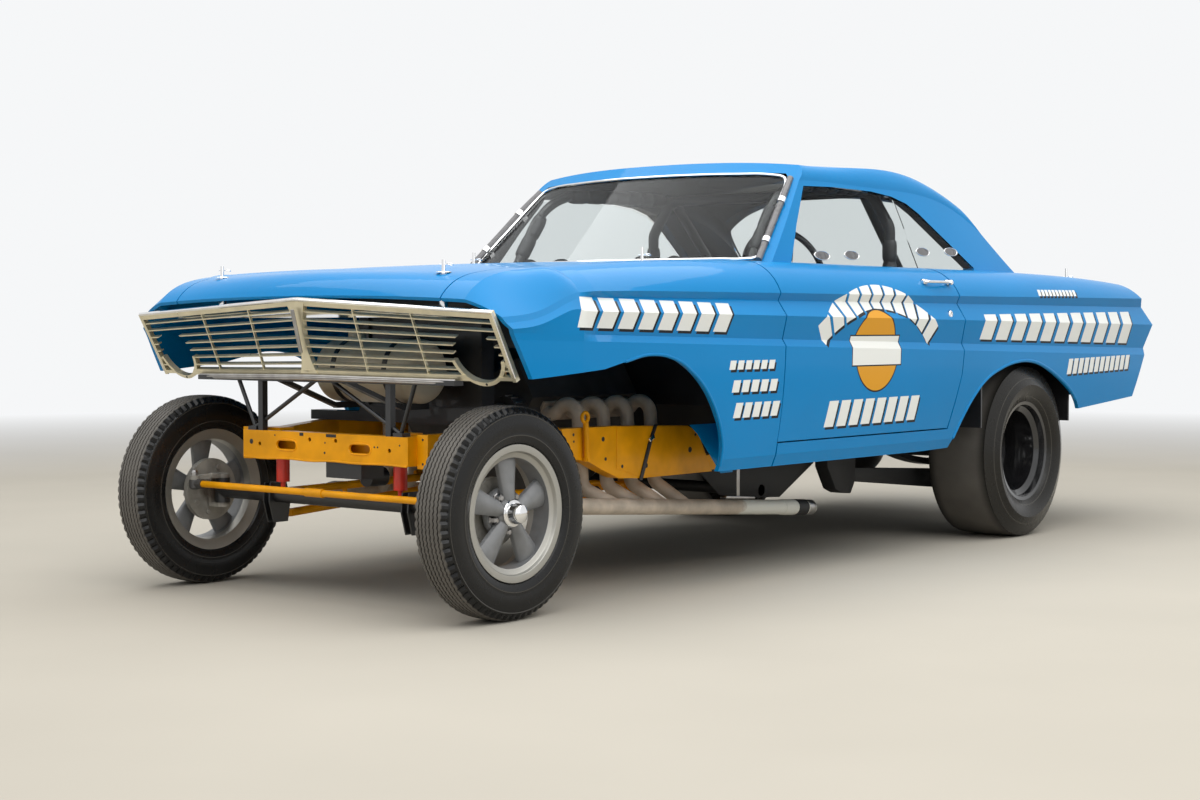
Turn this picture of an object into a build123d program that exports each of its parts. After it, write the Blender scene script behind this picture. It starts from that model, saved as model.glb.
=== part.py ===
from build123d import *
import os
from collections import namedtuple

os.makedirs("parts", exist_ok=True)

# Altered-wheelbase drag racing coupe, in millimetres.
# X is the car's left, Y is the car's rear, Z is up, and the tyres stand on Z = 0.
# A station is a distance behind the front axle, and a height is above the ground.

# Running gear
WHEELBASE = 3088
FRONT_TRACK = 1380
REAR_TRACK = 1431
FRONT_TYRE_R = 321.5
FRONT_TYRE_WIDTH = 142
REAR_TYRE_R = 358
REAR_TYRE_WIDTH = 317
RIM_R = 207
RIM_LIP = 6
FRONT_LIP_OFFSET = 60
REAR_LIP_OFFSET = 127
STEER_PIVOT_X = 588
STEER_PIN_R = 10
PIN_CLEARANCE = 0.06

# Sheet metal
TAIL_STATION = 4326
BODY_WALL = 16
PANEL_GAP = 5
SEAT_GAP = 0.3
DOOR_FRONT = 1204
DOOR_REAR = 2456
DOOR_BOTTOM = 484
DOOR_INNER_X = 712
ROCKER_INNER_X = 740
POST_INNER_X = 700
POST_FRONT = 1110
POST_TONGUE = 10
DOOR_FRONT_INNER_X = 758
PILLAR_FOOT_REAR = 1492
DOOR_AXIS_X = 914
DOOR_REAR_TAPER = 24
JAMB_TAPER = 10
HOOD_FRONT_HALF = 600
HOOD_REAR_HALF = 650
HOOD_REAR = 1150
TRUNK_HALF = 640
TRUNK_FRONT = 3300
TRUNK_REAR = 4150
TRUNK_LOW_Z = 900
BELT_Z = 1094
ROOF_WALL = 38
GLASS = 6
FLOOR_Z = 425
REAR_FLOOR_Z = 640
FLOOR_SHEET = 10
FIREWALL_STATION = 1186
PIN_HOLE_R = 9
PIN_R = 6
PIN_POST_R = 14
HOOD_FRONT_PIN = (510, -60)
HOOD_REAR_PIN = (400, 1055)
TRUNK_PINS = ((560, 3390), (560, 4060))

FRONT_AXLE_Y = (FRONT_TYRE_R - TAIL_STATION) / 2
FRONT_WHEEL_X = FRONT_TRACK / 2
REAR_WHEEL_X = REAR_TRACK / 2


def at(station):
    """The Y place of a station behind the front axle."""
    return FRONT_AXLE_Y + station


REAR_AXLE_Y = at(WHEELBASE)


def finish(builder, label):
    """Labels a piece and writes it as its own STEP file."""
    builder.part.label = label
    export_step(builder.part, f"parts/{label}.step")


def across(x):
    """A plane facing +X at x, whose sketch axes are the car's Y and Z."""
    return Plane(origin=(x, 0, 0), x_dir=(0, 1, 0), z_dir=(1, 0, 0))


def bar_plane(start, end):
    """A plane at start that faces end, with its own y as near to +Z as it can be."""
    way = Vector(end) - Vector(start)
    side = Vector(0, 0, 1).cross(way) if abs(way.normalized().Z) < 0.99 else Vector(1, 0, 0)
    return Plane(origin=start, x_dir=side, z_dir=way)


def bar(start, end, width, height):
    """Adds a straight bar of rectangular section between two points."""
    with BuildSketch(bar_plane(start, end)) as section:
        Rectangle(width, height)
    extrude(section.sketch, amount=(Vector(end) - Vector(start)).length)


def tube(start, end, radius):
    """Adds a straight round rod between two points."""
    with BuildSketch(bar_plane(start, end)) as section:
        Circle(radius)
    extrude(section.sketch, amount=(Vector(end) - Vector(start)).length)


def bent_tube(points, radius, bend):
    """Adds a round tube along straight runs joined by tangent arcs."""
    with BuildLine() as path:
        FilletPolyline(*points, radius=bend)
    start = Plane(origin=path.line @ 0, z_dir=path.line % 0)
    with BuildSketch(start) as section:
        Circle(radius)
    sweep(section.sketch, path=path.line)


# Body sections from nose to tail, one row per station:
# half width, heights of the centre, of the crown's edge, of the shoulder and of the upper
# crease, and how deep the side's spear grooves are there (0 is none, 1 is full)
Row = namedtuple("Row", "station half centre edge shoulder crease spear")
CROWN_EDGE_X = 700
SHOULDER_INSET = 98
NOSE_ROWS = [
    Row(-186, 828, 966, 938, 926, 892, 0),
    Row(-120, 849, 1036, 1000, 966, 906, 0),
    Row(-30, 868, 1052, 1034, 985, 918, 0),
    Row(60, 880, 1058, 1048, 1024, 950, 0),
    Row(150, 889, 1065, 1056, 1042, 978, 0),
]
SPEAR_ROWS = [
    Row(150, 889, 1065, 1056, 1042, 978, 0),
    Row(215, 893, 1070, 1061, 1048, 983, 1),
]
FENDER_ROWS = [
    Row(215, 893, 1070, 1061, 1048, 983, 1),
    Row(500, 901, 1088, 1078, 1066, 987, 1),
    Row(860, 905, 1102, 1093, 1080, 989, 1),
    Row(1260, 907, 1108, 1099, 1086, 991, 1),
]
CABIN_ROWS = [
    Row(1140, 907, 1108, 1099, 1086, 991, 1),
    Row(2000, 908, 1110, 1101, 1086, 993, 1),
    Row(3100, 900, 1110, 1102, 1088, 999, 1),
    Row(3800, 886, 1098, 1092, 1080, 1003, 1),
    Row(4340, 868, 1070, 1066, 1058, 1006, 1),
]
# The side below the upper crease: height at the front axle, height at the tail,
# inset from the widest line without the spear, inset with it
SideLine = namedtuple("SideLine", "name front_z tail_z plain spear")
SIDE_LINES = [
    SideLine("crease", 0, 0, 22, 20),
    SideLine("groove", 965, 966, 15, 34),
    SideLine("peak", 924, 885, 0, 0),
    SideLine("valley", 856, 776, 4, 22),
    SideLine("ledge", 836, 744, 6, 8),
    SideLine("side", 650, 640, 15, 15),
    SideLine("low", 490, 490, 34, 34),
    SideLine("turn", 440, 440, 42, 42),
    SideLine("bottom", 404, 404, 56, 56),
]


def side_points(row, wall):
    """The side's points at a station, moved inwards by a wall."""
    along = row.station / TAIL_STATION
    points = {}
    for line in SIDE_LINES:
        height = line.front_z + (line.tail_z - line.front_z) * along
        inset = line.plain + (line.spear - line.plain) * row.spear
        if line.name == "crease":
            height = row.crease
        if line.name == "groove":
            height = min(height, row.crease - 18)
        if line.name == "peak":
            height = min(height, row.crease - 36)
        points[line.name] = (row.half - inset - wall, height)
    return points


def body_section(row, wall, drop):
    """Half of the body's cross-section, closed on the centre plane, its floor lowered by drop."""
    side = side_points(row, wall)
    foot = (side["bottom"][0] - 1, side["bottom"][1] - drop)
    with BuildSketch(Plane.XZ.offset(-at(row.station))) as section:
        with BuildLine():
            crown_mid = (CROWN_EDGE_X * 0.55, row.centre * 0.68 + row.edge * 0.32 - wall)
            crown_end = (CROWN_EDGE_X, row.edge - wall)
            ThreePointArc((0, row.centre - wall), crown_mid, crown_end)
            shoulder = (row.half - SHOULDER_INSET - wall * 0.7, row.shoulder - wall * 0.7)
            ThreePointArc(crown_end, shoulder, side["crease"])
            Polyline(side["crease"], side["groove"], side["peak"], side["valley"], side["ledge"])
            ThreePointArc(side["ledge"], side["side"], side["low"])
            Polyline(side["low"], side["turn"], side["bottom"], foot, (0, foot[1]), (0, row.centre - wall))
        make_face()
    return section.sketch


def side_prism(points, start_x, end_x, mode):
    """Extrudes a side-view outline, given as stations and heights, between two X places."""
    with BuildSketch(across(start_x)) as outline:
        Polygon(*[(at(station), height) for station, height in points], align=None)
    extrude(outline.sketch, amount=end_x - start_x, mode=mode)


def arched_prism(arch, runs, mode):
    """Extrudes a side view closed by an arch, drawn as arcs over every second point, and by straight runs."""
    places = [(at(station), height) for station, height in arch]
    corners = [(at(station), height) for station, height in runs]
    with BuildSketch(across(0)) as outline:
        with BuildLine():
            for first in range(0, len(places) - 2, 2):
                ThreePointArc(*places[first:first + 3])
            Polyline(places[-1], *corners, places[0])
        make_face()
    extrude(outline.sketch, amount=1000, mode=mode)


def block(x, y, z, mode=Mode.ADD):
    """Adds or cuts a box given by its limits, each as (low, high)."""
    with BuildSketch(Plane.XY.offset(z[0])) as base:
        with Locations(((x[0] + x[1]) / 2, (y[0] + y[1]) / 2)):
            Rectangle(x[1] - x[0], y[1] - y[0])
    extrude(base.sketch, amount=z[1] - z[0], mode=mode)


def pin_hole(x, station):
    """Cuts a hole for a lock pin through a top panel."""
    with BuildSketch(Plane(origin=(x, at(station), 900), z_dir=(0, 0, 1))) as hole:
        Circle(PIN_HOLE_R)
    extrude(hole.sketch, amount=400, mode=Mode.SUBTRACT)


def both_sides(builder, label):
    """Writes a left-hand piece and its mirror image."""
    with BuildPart() as right:
        mirror(builder.part, about=Plane.YZ)
    finish(builder, label + "_left")
    finish(right, label + "_right")


# Cut lines of the panels in side view, as stations and heights
DEEP = 1300
NOSE_TOP = (-154, 922)
NOSE_LOW = (-49, 723)
NOSE_LIP_STATION = -179
FENDER_LOW_EDGE = [(-52, 723), (62, 732), (249, 748)]
FRONT_ARCH = [(340, 768), (471, 788), (610, 768), (735, 695), (830, 590), (882, 480), (886, 404)]
REAR_ARCH = [(2432, 432), (2572, 604), (2660, 664), (2780, 706), (2915, 731), (3060, 732), (3190, 706),
             (3329, 658), (3452, 604), (3522, 560), (3560, 520)]
DOOR_FRONT_LINE = [(-24, 1130), (-2, 960), (8, 815), (-4, DOOR_BOTTOM)]
DOOR_REAR_LINE = [(-32, 1130), (-3, 930), (9, 800), (-4, 690), (-76, DOOR_BOTTOM)]
TAIL_LINE = [(4146, 557), (TAIL_STATION, 885), (4193, 1067), (4186, 1130)]


def door_outline(grow, rear_shift):
    """The door's side-view outline, grown by a gap, its rear edge shifted forward."""
    front = [(DOOR_FRONT + along - grow, height) for along, height in DOOR_FRONT_LINE]
    rear = [(DOOR_REAR + along + grow - rear_shift, height) for along, height in DOOR_REAR_LINE]
    front[-1] = (front[-1][0], DOOR_BOTTOM - grow)
    rear[-1] = (rear[-1][0], DOOR_BOTTOM - grow)
    return front + rear[::-1]


def door_region(grow, rear_taper, mode):
    """The space a door takes between its inner face and the skin, tapered at its rear edge."""
    sections = []
    for x, shift in ((DOOR_INNER_X - 14, rear_taper), (DOOR_AXIS_X + 6, 0)):
        with BuildSketch(across(x)) as section:
            outline = [(at(station), height) for station, height in door_outline(grow, shift)]
            Polygon(*outline, align=None)
        sections.append(section.sketch)
    loft(sections, ruled=True, mode=mode)


with BuildPart() as front_skin:
    for rows in (NOSE_ROWS, SPEAR_ROWS, FENDER_ROWS):
        loft([body_section(row, 0, 4) for row in rows])
    for rows in (NOSE_ROWS, SPEAR_ROWS, FENDER_ROWS):
        loft([body_section(row, BODY_WALL, 60) for row in rows], mode=Mode.SUBTRACT)

with BuildPart() as cabin_outer:
    loft([body_section(row, 0, 4) for row in CABIN_ROWS])

# The nose of hood and fenders lies in one plane, which leans forward and is swept back a little
nose_corner = Vector(813, at(NOSE_TOP[0]), NOSE_TOP[1])
nose_down = Vector(812, at(NOSE_LOW[0]), NOSE_LOW[1]) - nose_corner
nose_across = Vector(0, at(NOSE_LIP_STATION), 966) - nose_corner
nose_plane = Plane(origin=nose_corner, x_dir=nose_across, z_dir=nose_across.cross(nose_down))

# Hood: the top skin between the fenders, down to a lip over the grille
with BuildPart() as hood:
    add(front_skin.part)
    split(bisect_by=nose_plane, keep=Keep.BOTTOM)
    with BuildSketch(Plane.XY) as plan:
        Polygon((0, at(-260)), (HOOD_FRONT_HALF, at(-260)), (HOOD_REAR_HALF, at(HOOD_REAR)),
                (0, at(HOOD_REAR)), align=None)
    extrude(plan.sketch, amount=DEEP, mode=Mode.INTERSECT)
    for place in (HOOD_FRONT_PIN, HOOD_REAR_PIN):
        pin_hole(*place)
    mirror(about=Plane.YZ)
finish(hood, "hood")

# Fender: skin from the nose to the door, with the front half of its arch cut away
with BuildPart() as fender:
    add(front_skin.part)
    split(bisect_by=nose_plane, keep=Keep.BOTTOM)
    with BuildSketch(Plane.XY) as plan:
        Polygon((0, at(-260)), (HOOD_FRONT_HALF + PANEL_GAP, at(-260)),
                (HOOD_REAR_HALF + PANEL_GAP, at(HOOD_REAR)),
                (HOOD_REAR_HALF + PANEL_GAP, at(DOOR_FRONT + 100)), (0, at(DOOR_FRONT + 100)),
                align=None)
    extrude(plan.sketch, amount=DEEP, mode=Mode.SUBTRACT)
    door_edge = [(DOOR_FRONT + along - PANEL_GAP, height) for along, height in DOOR_FRONT_LINE]
    door_edge[-1] = (door_edge[-1][0], 380)
    runs = [(888, 380)] + door_edge[::-1] + [(-260, 1130), (-260, 723)] + FENDER_LOW_EDGE
    arched_prism(FRONT_ARCH, runs, Mode.INTERSECT)
both_sides(fender, "front_fender")

# Side glass: flat panes that lean inwards with the roof's sides and stand in slots at the belt
GLASS_PLANE_LOW = (728, BELT_Z)
GLASS_PLANE_HIGH = (633, 1404)
PANE_FOOT = BELT_Z - 14
DOOR_PANE = [(1508, PANE_FOOT), (1508, BELT_Z + 6), (1596, 1248), (1704, 1386), (1900, 1393), (2180, 1392),
             (2322, 1381), (2346, 1374), (2406, BELT_Z + 6), (2406, PANE_FOOT)]
QUARTER_PANE = [(2442, PANE_FOOT), (2414, BELT_Z + 10), (2352, 1374), (2438, 1356), (2515, 1321),
                (2862, 1112), (2850, PANE_FOOT)]


def side_pane(points, grow, mode):
    """The space of a leaning pane, grown by a clearance, with its outline in side view."""
    (low_x, low_z), (high_x, high_z) = GLASS_PLANE_LOW, GLASS_PLANE_HIGH
    lean = (high_x - low_x) / (high_z - low_z)
    with BuildPart() as pane:
        with BuildSketch(Plane.XZ.offset(-at(1000))) as edge:
            foot_x, foot_z = low_x - lean * 60, low_z - 60
            Polygon((foot_x + grow, foot_z), (high_x + grow, high_z), (high_x - GLASS - grow, high_z),
                    (foot_x - GLASS - grow, foot_z), align=None)
        extrude(edge.sketch, amount=-2200)
        side_prism(points, 500, 900, Mode.INTERSECT)
    add(pane.part, mode=mode)


def slot_outline(points):
    """The part of a pane's outline that stands in the belt, lengthened by the seat gap."""
    stations = [station for station, height in points]
    start, end = min(stations[0], stations[1]) - SEAT_GAP, max(stations[-1], stations[-2]) + SEAT_GAP
    low = PANE_FOOT - SEAT_GAP
    return [(start, low), (start, BELT_Z + 30), (end, BELT_Z + 30), (end, low)]


# Door: as thick as the whole door, its rear face cut back so that it clears the jamb
with BuildPart() as door:
    add(cabin_outer.part)
    door_region(0, DOOR_REAR_TAPER, Mode.INTERSECT)
    block((600, DOOR_INNER_X), (at(1100), at(DOOR_REAR + 100)), (300, DEEP), Mode.SUBTRACT)
    block((600, DOOR_FRONT_INNER_X), (at(1100), at(PILLAR_FOOT_REAR)), (300, DEEP), Mode.SUBTRACT)
    side_pane(slot_outline(DOOR_PANE), SEAT_GAP, Mode.SUBTRACT)
both_sides(door, "door")

with BuildPart() as door_window:
    side_pane(DOOR_PANE, 0, Mode.ADD)
both_sides(door_window, "door_window")

with BuildPart() as quarter_windows:
    side_pane(QUARTER_PANE, 0, Mode.ADD)
    mirror(about=Plane.YZ)
finish(quarter_windows, "quarter_windows")

# Roof sections, one row per station: half widths at the belt and at the drip rail, heights
# of the rail, of the roof's edge and of its middle
Roof = namedtuple("Roof", "station belt rail rail_z edge_z top_z")
ROOF_ROWS = [
    Roof(1100, 745, 650, 1400, 1452, 1472),
    Roof(1700, 742, 640, 1412, 1474, 1500),
    Roof(2150, 742, 636, 1412, 1487, 1516),
    Roof(2500, 739, 632, 1408, 1484, 1512),
    Roof(2740, 735, 632, 1382, 1440, 1488),
    Roof(2960, 728, 645, 1310, 1360, 1424),
    Roof(3360, 714, 690, 1120, 1150, 1200),
]
ROOF_EDGE_INSET = 38
BELT_FOOT_Z = 1082
PILLAR_START = 1362
PILLAR_SWEEP = 90
COWL_TOP_Z = 1111
DECK_TOP_Z = 1112
# The windshield's outer face: a bent sheet between two bows, seen from above
Bow = namedtuple("Bow", "height corner_x corner_station centre_station")
WINDSHIELD_BOWS = [Bow(1060, 742, 1325, 1165), Bow(1520, 588, 1784, 1690)]
BACKLIGHT_LOW = (3262, 1104)
BACKLIGHT_TOP = (2700, 1530)


def roof_section(row, wall):
    """Half of the greenhouse's cross-section, moved inwards by a wall."""
    foot_z = BELT_FOOT_Z - (40 if wall else 0)
    edge_x = row.rail - ROOF_EDGE_INSET
    with BuildSketch(Plane.XZ.offset(-at(row.station))) as section:
        with BuildLine():
            Polyline((0, row.top_z - wall), (0, foot_z), (row.belt - wall, foot_z),
                     (row.rail - wall, row.rail_z - wall))
            edge = (edge_x - wall * 0.7, row.edge_z - wall * 0.9)
            knee = ((row.rail + edge_x) / 2 - wall * 0.85 + 9, (row.rail_z + row.edge_z) / 2 - wall + 6)
            ThreePointArc((row.rail - wall, row.rail_z - wall), knee, edge)
            crown = (edge_x * 0.52, row.top_z * 0.74 + row.edge_z * 0.26 - wall)
            ThreePointArc(edge, crown, (0, row.top_z - wall))
        make_face()
    return section.sketch


def windshield_sheet(front, back):
    """Adds the sheet between two offsets behind the windshield's outer face."""
    sections = []
    for bow in WINDSHIELD_BOWS:
        with BuildSketch(Plane.XY.offset(bow.height)) as section:
            with BuildLine():
                corners = [(side * bow.corner_x, at(bow.corner_station) + front) for side in (-1, 1)]
                ThreePointArc(corners[0], (0, at(bow.centre_station) + front), corners[1])
                Line(corners[1], (bow.corner_x, at(bow.corner_station) + back))
                back_corners = [(side * bow.corner_x, at(bow.corner_station) + back) for side in (-1, 1)]
                ThreePointArc(back_corners[1], (0, at(bow.centre_station) + back), back_corners[0])
                Line(back_corners[0], corners[0])
            make_face()
        sections.append(section.sketch)
    loft(sections, ruled=True)


# The space before the windshield and the pillars beside it, which the roof doesn't reach
with BuildPart() as windshield_front:
    sections = []
    for bow in WINDSHIELD_BOWS:
        with BuildSketch(Plane.XY.offset(bow.height)) as section:
            with BuildLine():
                edge_y, reach = at(bow.corner_station), 1000
                ThreePointArc((-bow.corner_x, edge_y), (0, at(bow.centre_station)), (bow.corner_x, edge_y))
                Polyline((bow.corner_x, edge_y), (reach, edge_y + PILLAR_SWEEP), (reach, edge_y - 900),
                         (-reach, edge_y - 900), (-reach, edge_y + PILLAR_SWEEP), (-bow.corner_x, edge_y))
            make_face()
        sections.append(section.sketch)
    loft(sections, ruled=True)

# Side windows' openings in the roof, as stations and heights
WINDOW_OUTLINE = [(1487, 1070), (1487, BELT_Z + 4), (1590, 1250), (1700, 1392), (1900, 1399),
                  (2180, 1398), (2330, 1386), (2440, 1362), (2520, 1326), (2870, 1116),
                  (2862, BELT_Z + 8), (2440, BELT_Z + 8), (2440, 1070)]

with BuildPart() as greenhouse:
    loft([roof_section(row, 0) for row in ROOF_ROWS])
    loft([roof_section(row, ROOF_WALL) for row in ROOF_ROWS], mode=Mode.SUBTRACT)
    block((POST_INNER_X, 1000), (at(1000), at(PILLAR_START)), (1000, DEEP), Mode.SUBTRACT)
    side_pane(slot_outline(QUARTER_PANE), SEAT_GAP, Mode.SUBTRACT)
    mirror(about=Plane.YZ)
    add(windshield_front.part, mode=Mode.SUBTRACT)
    outline = [(1000, 1000), (1000, 1600), (BACKLIGHT_TOP[0], 1600), BACKLIGHT_TOP, BACKLIGHT_LOW,
               (3290, 1000)]
    side_prism(outline, -1000, 1000, Mode.INTERSECT)
    side_prism(WINDOW_OUTLINE, -1000, 1000, Mode.SUBTRACT)

# The space inside the roof, which the glass reaches out to
with BuildPart() as roof_inside:
    loft([roof_section(row, ROOF_WALL + SEAT_GAP) for row in ROOF_ROWS])
    mirror(about=Plane.YZ)
    block((-1000, 1000), (at(1000), at(3400)), (1000, COWL_TOP_Z), Mode.SUBTRACT)

# Body shell: quarters, rockers, cowl, tail and roof in one piece, as they are welded
SHELL_RUNS = TAIL_LINE + [(1100, 1140), (1100, 380), (2418, 404)]
TAIL_WALL = 18
with BuildPart() as half_shell:
    add(cabin_outer.part)
    loft([body_section(row, BODY_WALL, 60) for row in CABIN_ROWS], mode=Mode.SUBTRACT)
    block((0, 1000), (at(1000), at(HOOD_REAR + PANEL_GAP)), (300, DEEP), Mode.SUBTRACT)
    block((HOOD_REAR_HALF, 1000), (at(1000), at(DOOR_FRONT)), (300, DEEP), Mode.SUBTRACT)
    block((POST_INNER_X, 1000), (at(1000), at(DOOR_FRONT + 10)), (300, DEEP), Mode.SUBTRACT)
    arched_prism(REAR_ARCH, SHELL_RUNS, Mode.INTERSECT)
    # the cabin's opening behind the cowl, and the trunk's
    with BuildSketch(Plane.XY) as plan:
        Polygon((0, at(1275)), (400, at(1300)), (POST_INNER_X, at(1390)), (POST_INNER_X, at(3240)),
                (0, at(3240)), align=None)
    extrude(plan.sketch, amount=DEEP, mode=Mode.SUBTRACT)
    block((0, TRUNK_HALF + PANEL_GAP), (at(TRUNK_FRONT - PANEL_GAP), at(TRUNK_REAR + PANEL_GAP)),
          (TRUNK_LOW_Z, DEEP), Mode.SUBTRACT)
    door_region(PANEL_GAP, JAMB_TAPER, Mode.SUBTRACT)

# The foot of the windshield pillar, inboard of the door's front end
with BuildPart() as pillar_foot:
    add(cabin_outer.part)
    foot_x = (POST_INNER_X - 60, DOOR_FRONT_INNER_X - PANEL_GAP)
    block(foot_x, (at(DOOR_FRONT), at(PILLAR_FOOT_REAR - PANEL_GAP)), (1000, DEEP), Mode.INTERSECT)
    block(foot_x, (at(POST_FRONT), at(DOOR_FRONT)), (1000, 1066))
    block((foot_x[0], HOOD_REAR_HALF), (at(HOOD_REAR + 20), at(DOOR_FRONT)), (1000, 1092))

with BuildPart() as rocker:
    add(cabin_outer.part)
    block((ROCKER_INNER_X, 1000), (at(DOOR_FRONT - 1), at(2440)), (300, DOOR_BOTTOM - PANEL_GAP),
          Mode.INTERSECT)
    arched_prism(REAR_ARCH, SHELL_RUNS, Mode.INTERSECT)

with BuildPart() as lock_pillar:
    add(cabin_outer.part)
    block((ROCKER_INNER_X, 1000), (at(DOOR_REAR - 120), at(DOOR_REAR + 44)), (300, 1120), Mode.INTERSECT)
    arched_prism(REAR_ARCH, SHELL_RUNS, Mode.INTERSECT)
    door_region(PANEL_GAP, JAMB_TAPER, Mode.SUBTRACT)

with BuildPart() as tail_panel:
    add(cabin_outer.part)
    band = TAIL_LINE + [(station - TAIL_WALL, height) for station, height in TAIL_LINE[::-1]]
    side_prism(band, 0, 1000, Mode.INTERSECT)

with BuildPart() as hinge_post:
    loft([body_section(row, BODY_WALL + SEAT_GAP, 0) for row in FENDER_ROWS])
    block((POST_INNER_X, 1000), (at(POST_FRONT), at(DOOR_FRONT + POST_TONGUE)), (300, DEEP), Mode.INTERSECT)
    edge = [(DOOR_FRONT + along - PANEL_GAP, height) for along, height in DOOR_FRONT_LINE]
    edge[-1] = (edge[-1][0], DOOR_BOTTOM - PANEL_GAP)
    tongue = [(DOOR_FRONT + POST_TONGUE, DOOR_BOTTOM - PANEL_GAP), (DOOR_FRONT + POST_TONGUE, 410)]
    side_prism([(POST_FRONT, 410), (POST_FRONT, 1140)] + edge + tongue, 0, 1000, Mode.INTERSECT)

with BuildPart() as body_shell:
    add(half_shell.part)
    add(rocker.part)
    add(lock_pillar.part)
    add(tail_panel.part)
    add(hinge_post.part)
    add(pillar_foot.part)
    side_pane(slot_outline(QUARTER_PANE), SEAT_GAP, Mode.SUBTRACT)
    mirror(about=Plane.YZ)
    add(greenhouse.part)
finish(body_shell, "body_shell")

# Trunk lid: the deck's skin between the backlight and the tail
with BuildPart() as trunk_lid:
    add(cabin_outer.part)
    loft([body_section(row, BODY_WALL, 60) for row in CABIN_ROWS], mode=Mode.SUBTRACT)
    block((0, TRUNK_HALF), (at(TRUNK_FRONT), at(TRUNK_REAR)), (TRUNK_LOW_Z, DEEP), Mode.INTERSECT)
    for place in TRUNK_PINS:
        pin_hole(*place)
    mirror(about=Plane.YZ)
finish(trunk_lid, "trunk_lid")

# Windshield and backlight: sheets set just inside the roof's openings
with BuildPart() as windshield:
    windshield_sheet(8, 8 + GLASS)
    add(roof_inside.part, mode=Mode.INTERSECT)
finish(windshield, "windshield")

with BuildPart() as rear_window:
    add(roof_inside.part)
    low, top = BACKLIGHT_LOW, BACKLIGHT_TOP
    outline = [(low[0] - 16, low[1]), (top[0] - 16, top[1]), (top[0] - 28, top[1]), (low[0] - 28, low[1])]
    side_prism(outline, -1000, 1000, Mode.INTERSECT)
    block((-1000, 1000), (at(2000), at(3300)), (500, DECK_TOP_Z), Mode.SUBTRACT)
finish(rear_window, "rear_window")

# Floor: firewall, toe board, two floor levels with the tubs over the rear tyres
FLOOR_HALF = ROCKER_INNER_X - SEAT_GAP
TUNNEL_HALF = 150
TUNNEL_TOP = 620
KICK_UP = 2600
TUB_INNER_X = 525
TUB_OUTER_X = 852
TUB_TOP = 762
TUB_REACH = 400
REAR_FLOOR_END = 4110
floor_line = [(FIREWALL_STATION, 1070), (FIREWALL_STATION, 600), (1340, FLOOR_Z), (KICK_UP, FLOOR_Z),
              (KICK_UP + 150, REAR_FLOOR_Z), (REAR_FLOOR_END, REAR_FLOOR_Z)]
floor_under = [(FIREWALL_STATION + FLOOR_SHEET, 1070), (FIREWALL_STATION + FLOOR_SHEET, 604),
               (1344, FLOOR_Z + FLOOR_SHEET), (KICK_UP - 6, FLOOR_Z + FLOOR_SHEET),
               (KICK_UP + 144, REAR_FLOOR_Z + FLOOR_SHEET), (REAR_FLOOR_END, REAR_FLOOR_Z + FLOOR_SHEET)]
with BuildPart() as floor_pan:
    side_prism(floor_line + floor_under[::-1], -FLOOR_HALF, FLOOR_HALF, Mode.ADD)
    for side in (-1, 1):
        for edge_x, low_z in ((POST_INNER_X, 300), (POST_INNER_X - 60, 990)):
            limits = sorted((side * (edge_x - SEAT_GAP), side * 900))
            block(limits, (at(FIREWALL_STATION - 5), at(DOOR_FRONT + 20)), (low_z, DEEP), Mode.SUBTRACT)
    # the tunnel over the transmission
    block((-TUNNEL_HALF, TUNNEL_HALF), (at(FIREWALL_STATION - 5), at(KICK_UP + 60)), (300, TUNNEL_TOP),
          Mode.SUBTRACT)
    wall = FLOOR_SHEET
    block((-TUNNEL_HALF - wall, TUNNEL_HALF + wall), (at(FIREWALL_STATION), at(KICK_UP + 90)),
          (FLOOR_Z, TUNNEL_TOP + wall))
    block((-TUNNEL_HALF, TUNNEL_HALF), (at(FIREWALL_STATION - 5), at(KICK_UP + 75)), (300, TUNNEL_TOP),
          Mode.SUBTRACT)
    slope = [(KICK_UP, 300), (KICK_UP, FLOOR_Z), (KICK_UP + 150, REAR_FLOOR_Z), (KICK_UP + 150, 300)]
    side_prism(slope, -FLOOR_HALF, FLOOR_HALF, Mode.SUBTRACT)
    # the tubs
    for side in (-1, 1):
        inner, outer = side * TUB_INNER_X, side * TUB_OUTER_X
        span = (at(WHEELBASE - TUB_REACH), at(WHEELBASE + TUB_REACH))
        block(sorted((inner - side * wall, outer)), span, (470, TUB_TOP + wall))
        block(sorted((inner, side * 1000)), (span[0] + wall, span[1] - wall), (300, TUB_TOP), Mode.SUBTRACT)
finish(floor_pan, "floor_pan")

# Front wheel: five-spoke casting, turned rim, tyre
SPOKES = 5
LUGS = 5


def wheel_plane(x, y, z):
    """A plane through a wheel's centre, whose x is the axle and whose y points up."""
    return Plane(origin=(x, y, z), x_dir=(1, 0, 0), z_dir=(0, -1, 0))


def turned(center, points):
    """Adds a ring turned about the axle from an outline of (axial place, radius)."""
    with BuildSketch(wheel_plane(*center)) as section:
        Polygon(*points, align=None)
    revolve(section.sketch, axis=Axis(center, (1, 0, 0)))


def rim_outside(lip, back, well, grow=0):
    """The side of a rim that the tyre sits on: a flange, a bead seat and a well on each side."""
    r = RIM_R + grow
    return [(-back, r), (-back + RIM_LIP + grow, r), (-back + 9 + grow, r - 11), (-back + 30, r - 14),
            (-back + 44, well + grow), (lip - 44, well + grow), (lip - 30, r - 14),
            (lip - 9 - grow, r - 11), (lip - RIM_LIP - grow, r), (lip, r)]


def rim_outline(lip, back, well):
    """A rim's closed section."""
    r = RIM_R
    inside = [(lip - 3, r - 14), (lip - 26, r - 20), (lip - 40, well - RIM_LIP),
              (-back + 40, well - RIM_LIP), (-back + 26, r - 20), (-back + 3, r - 14)]
    return rim_outside(lip, back, well) + inside


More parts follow.
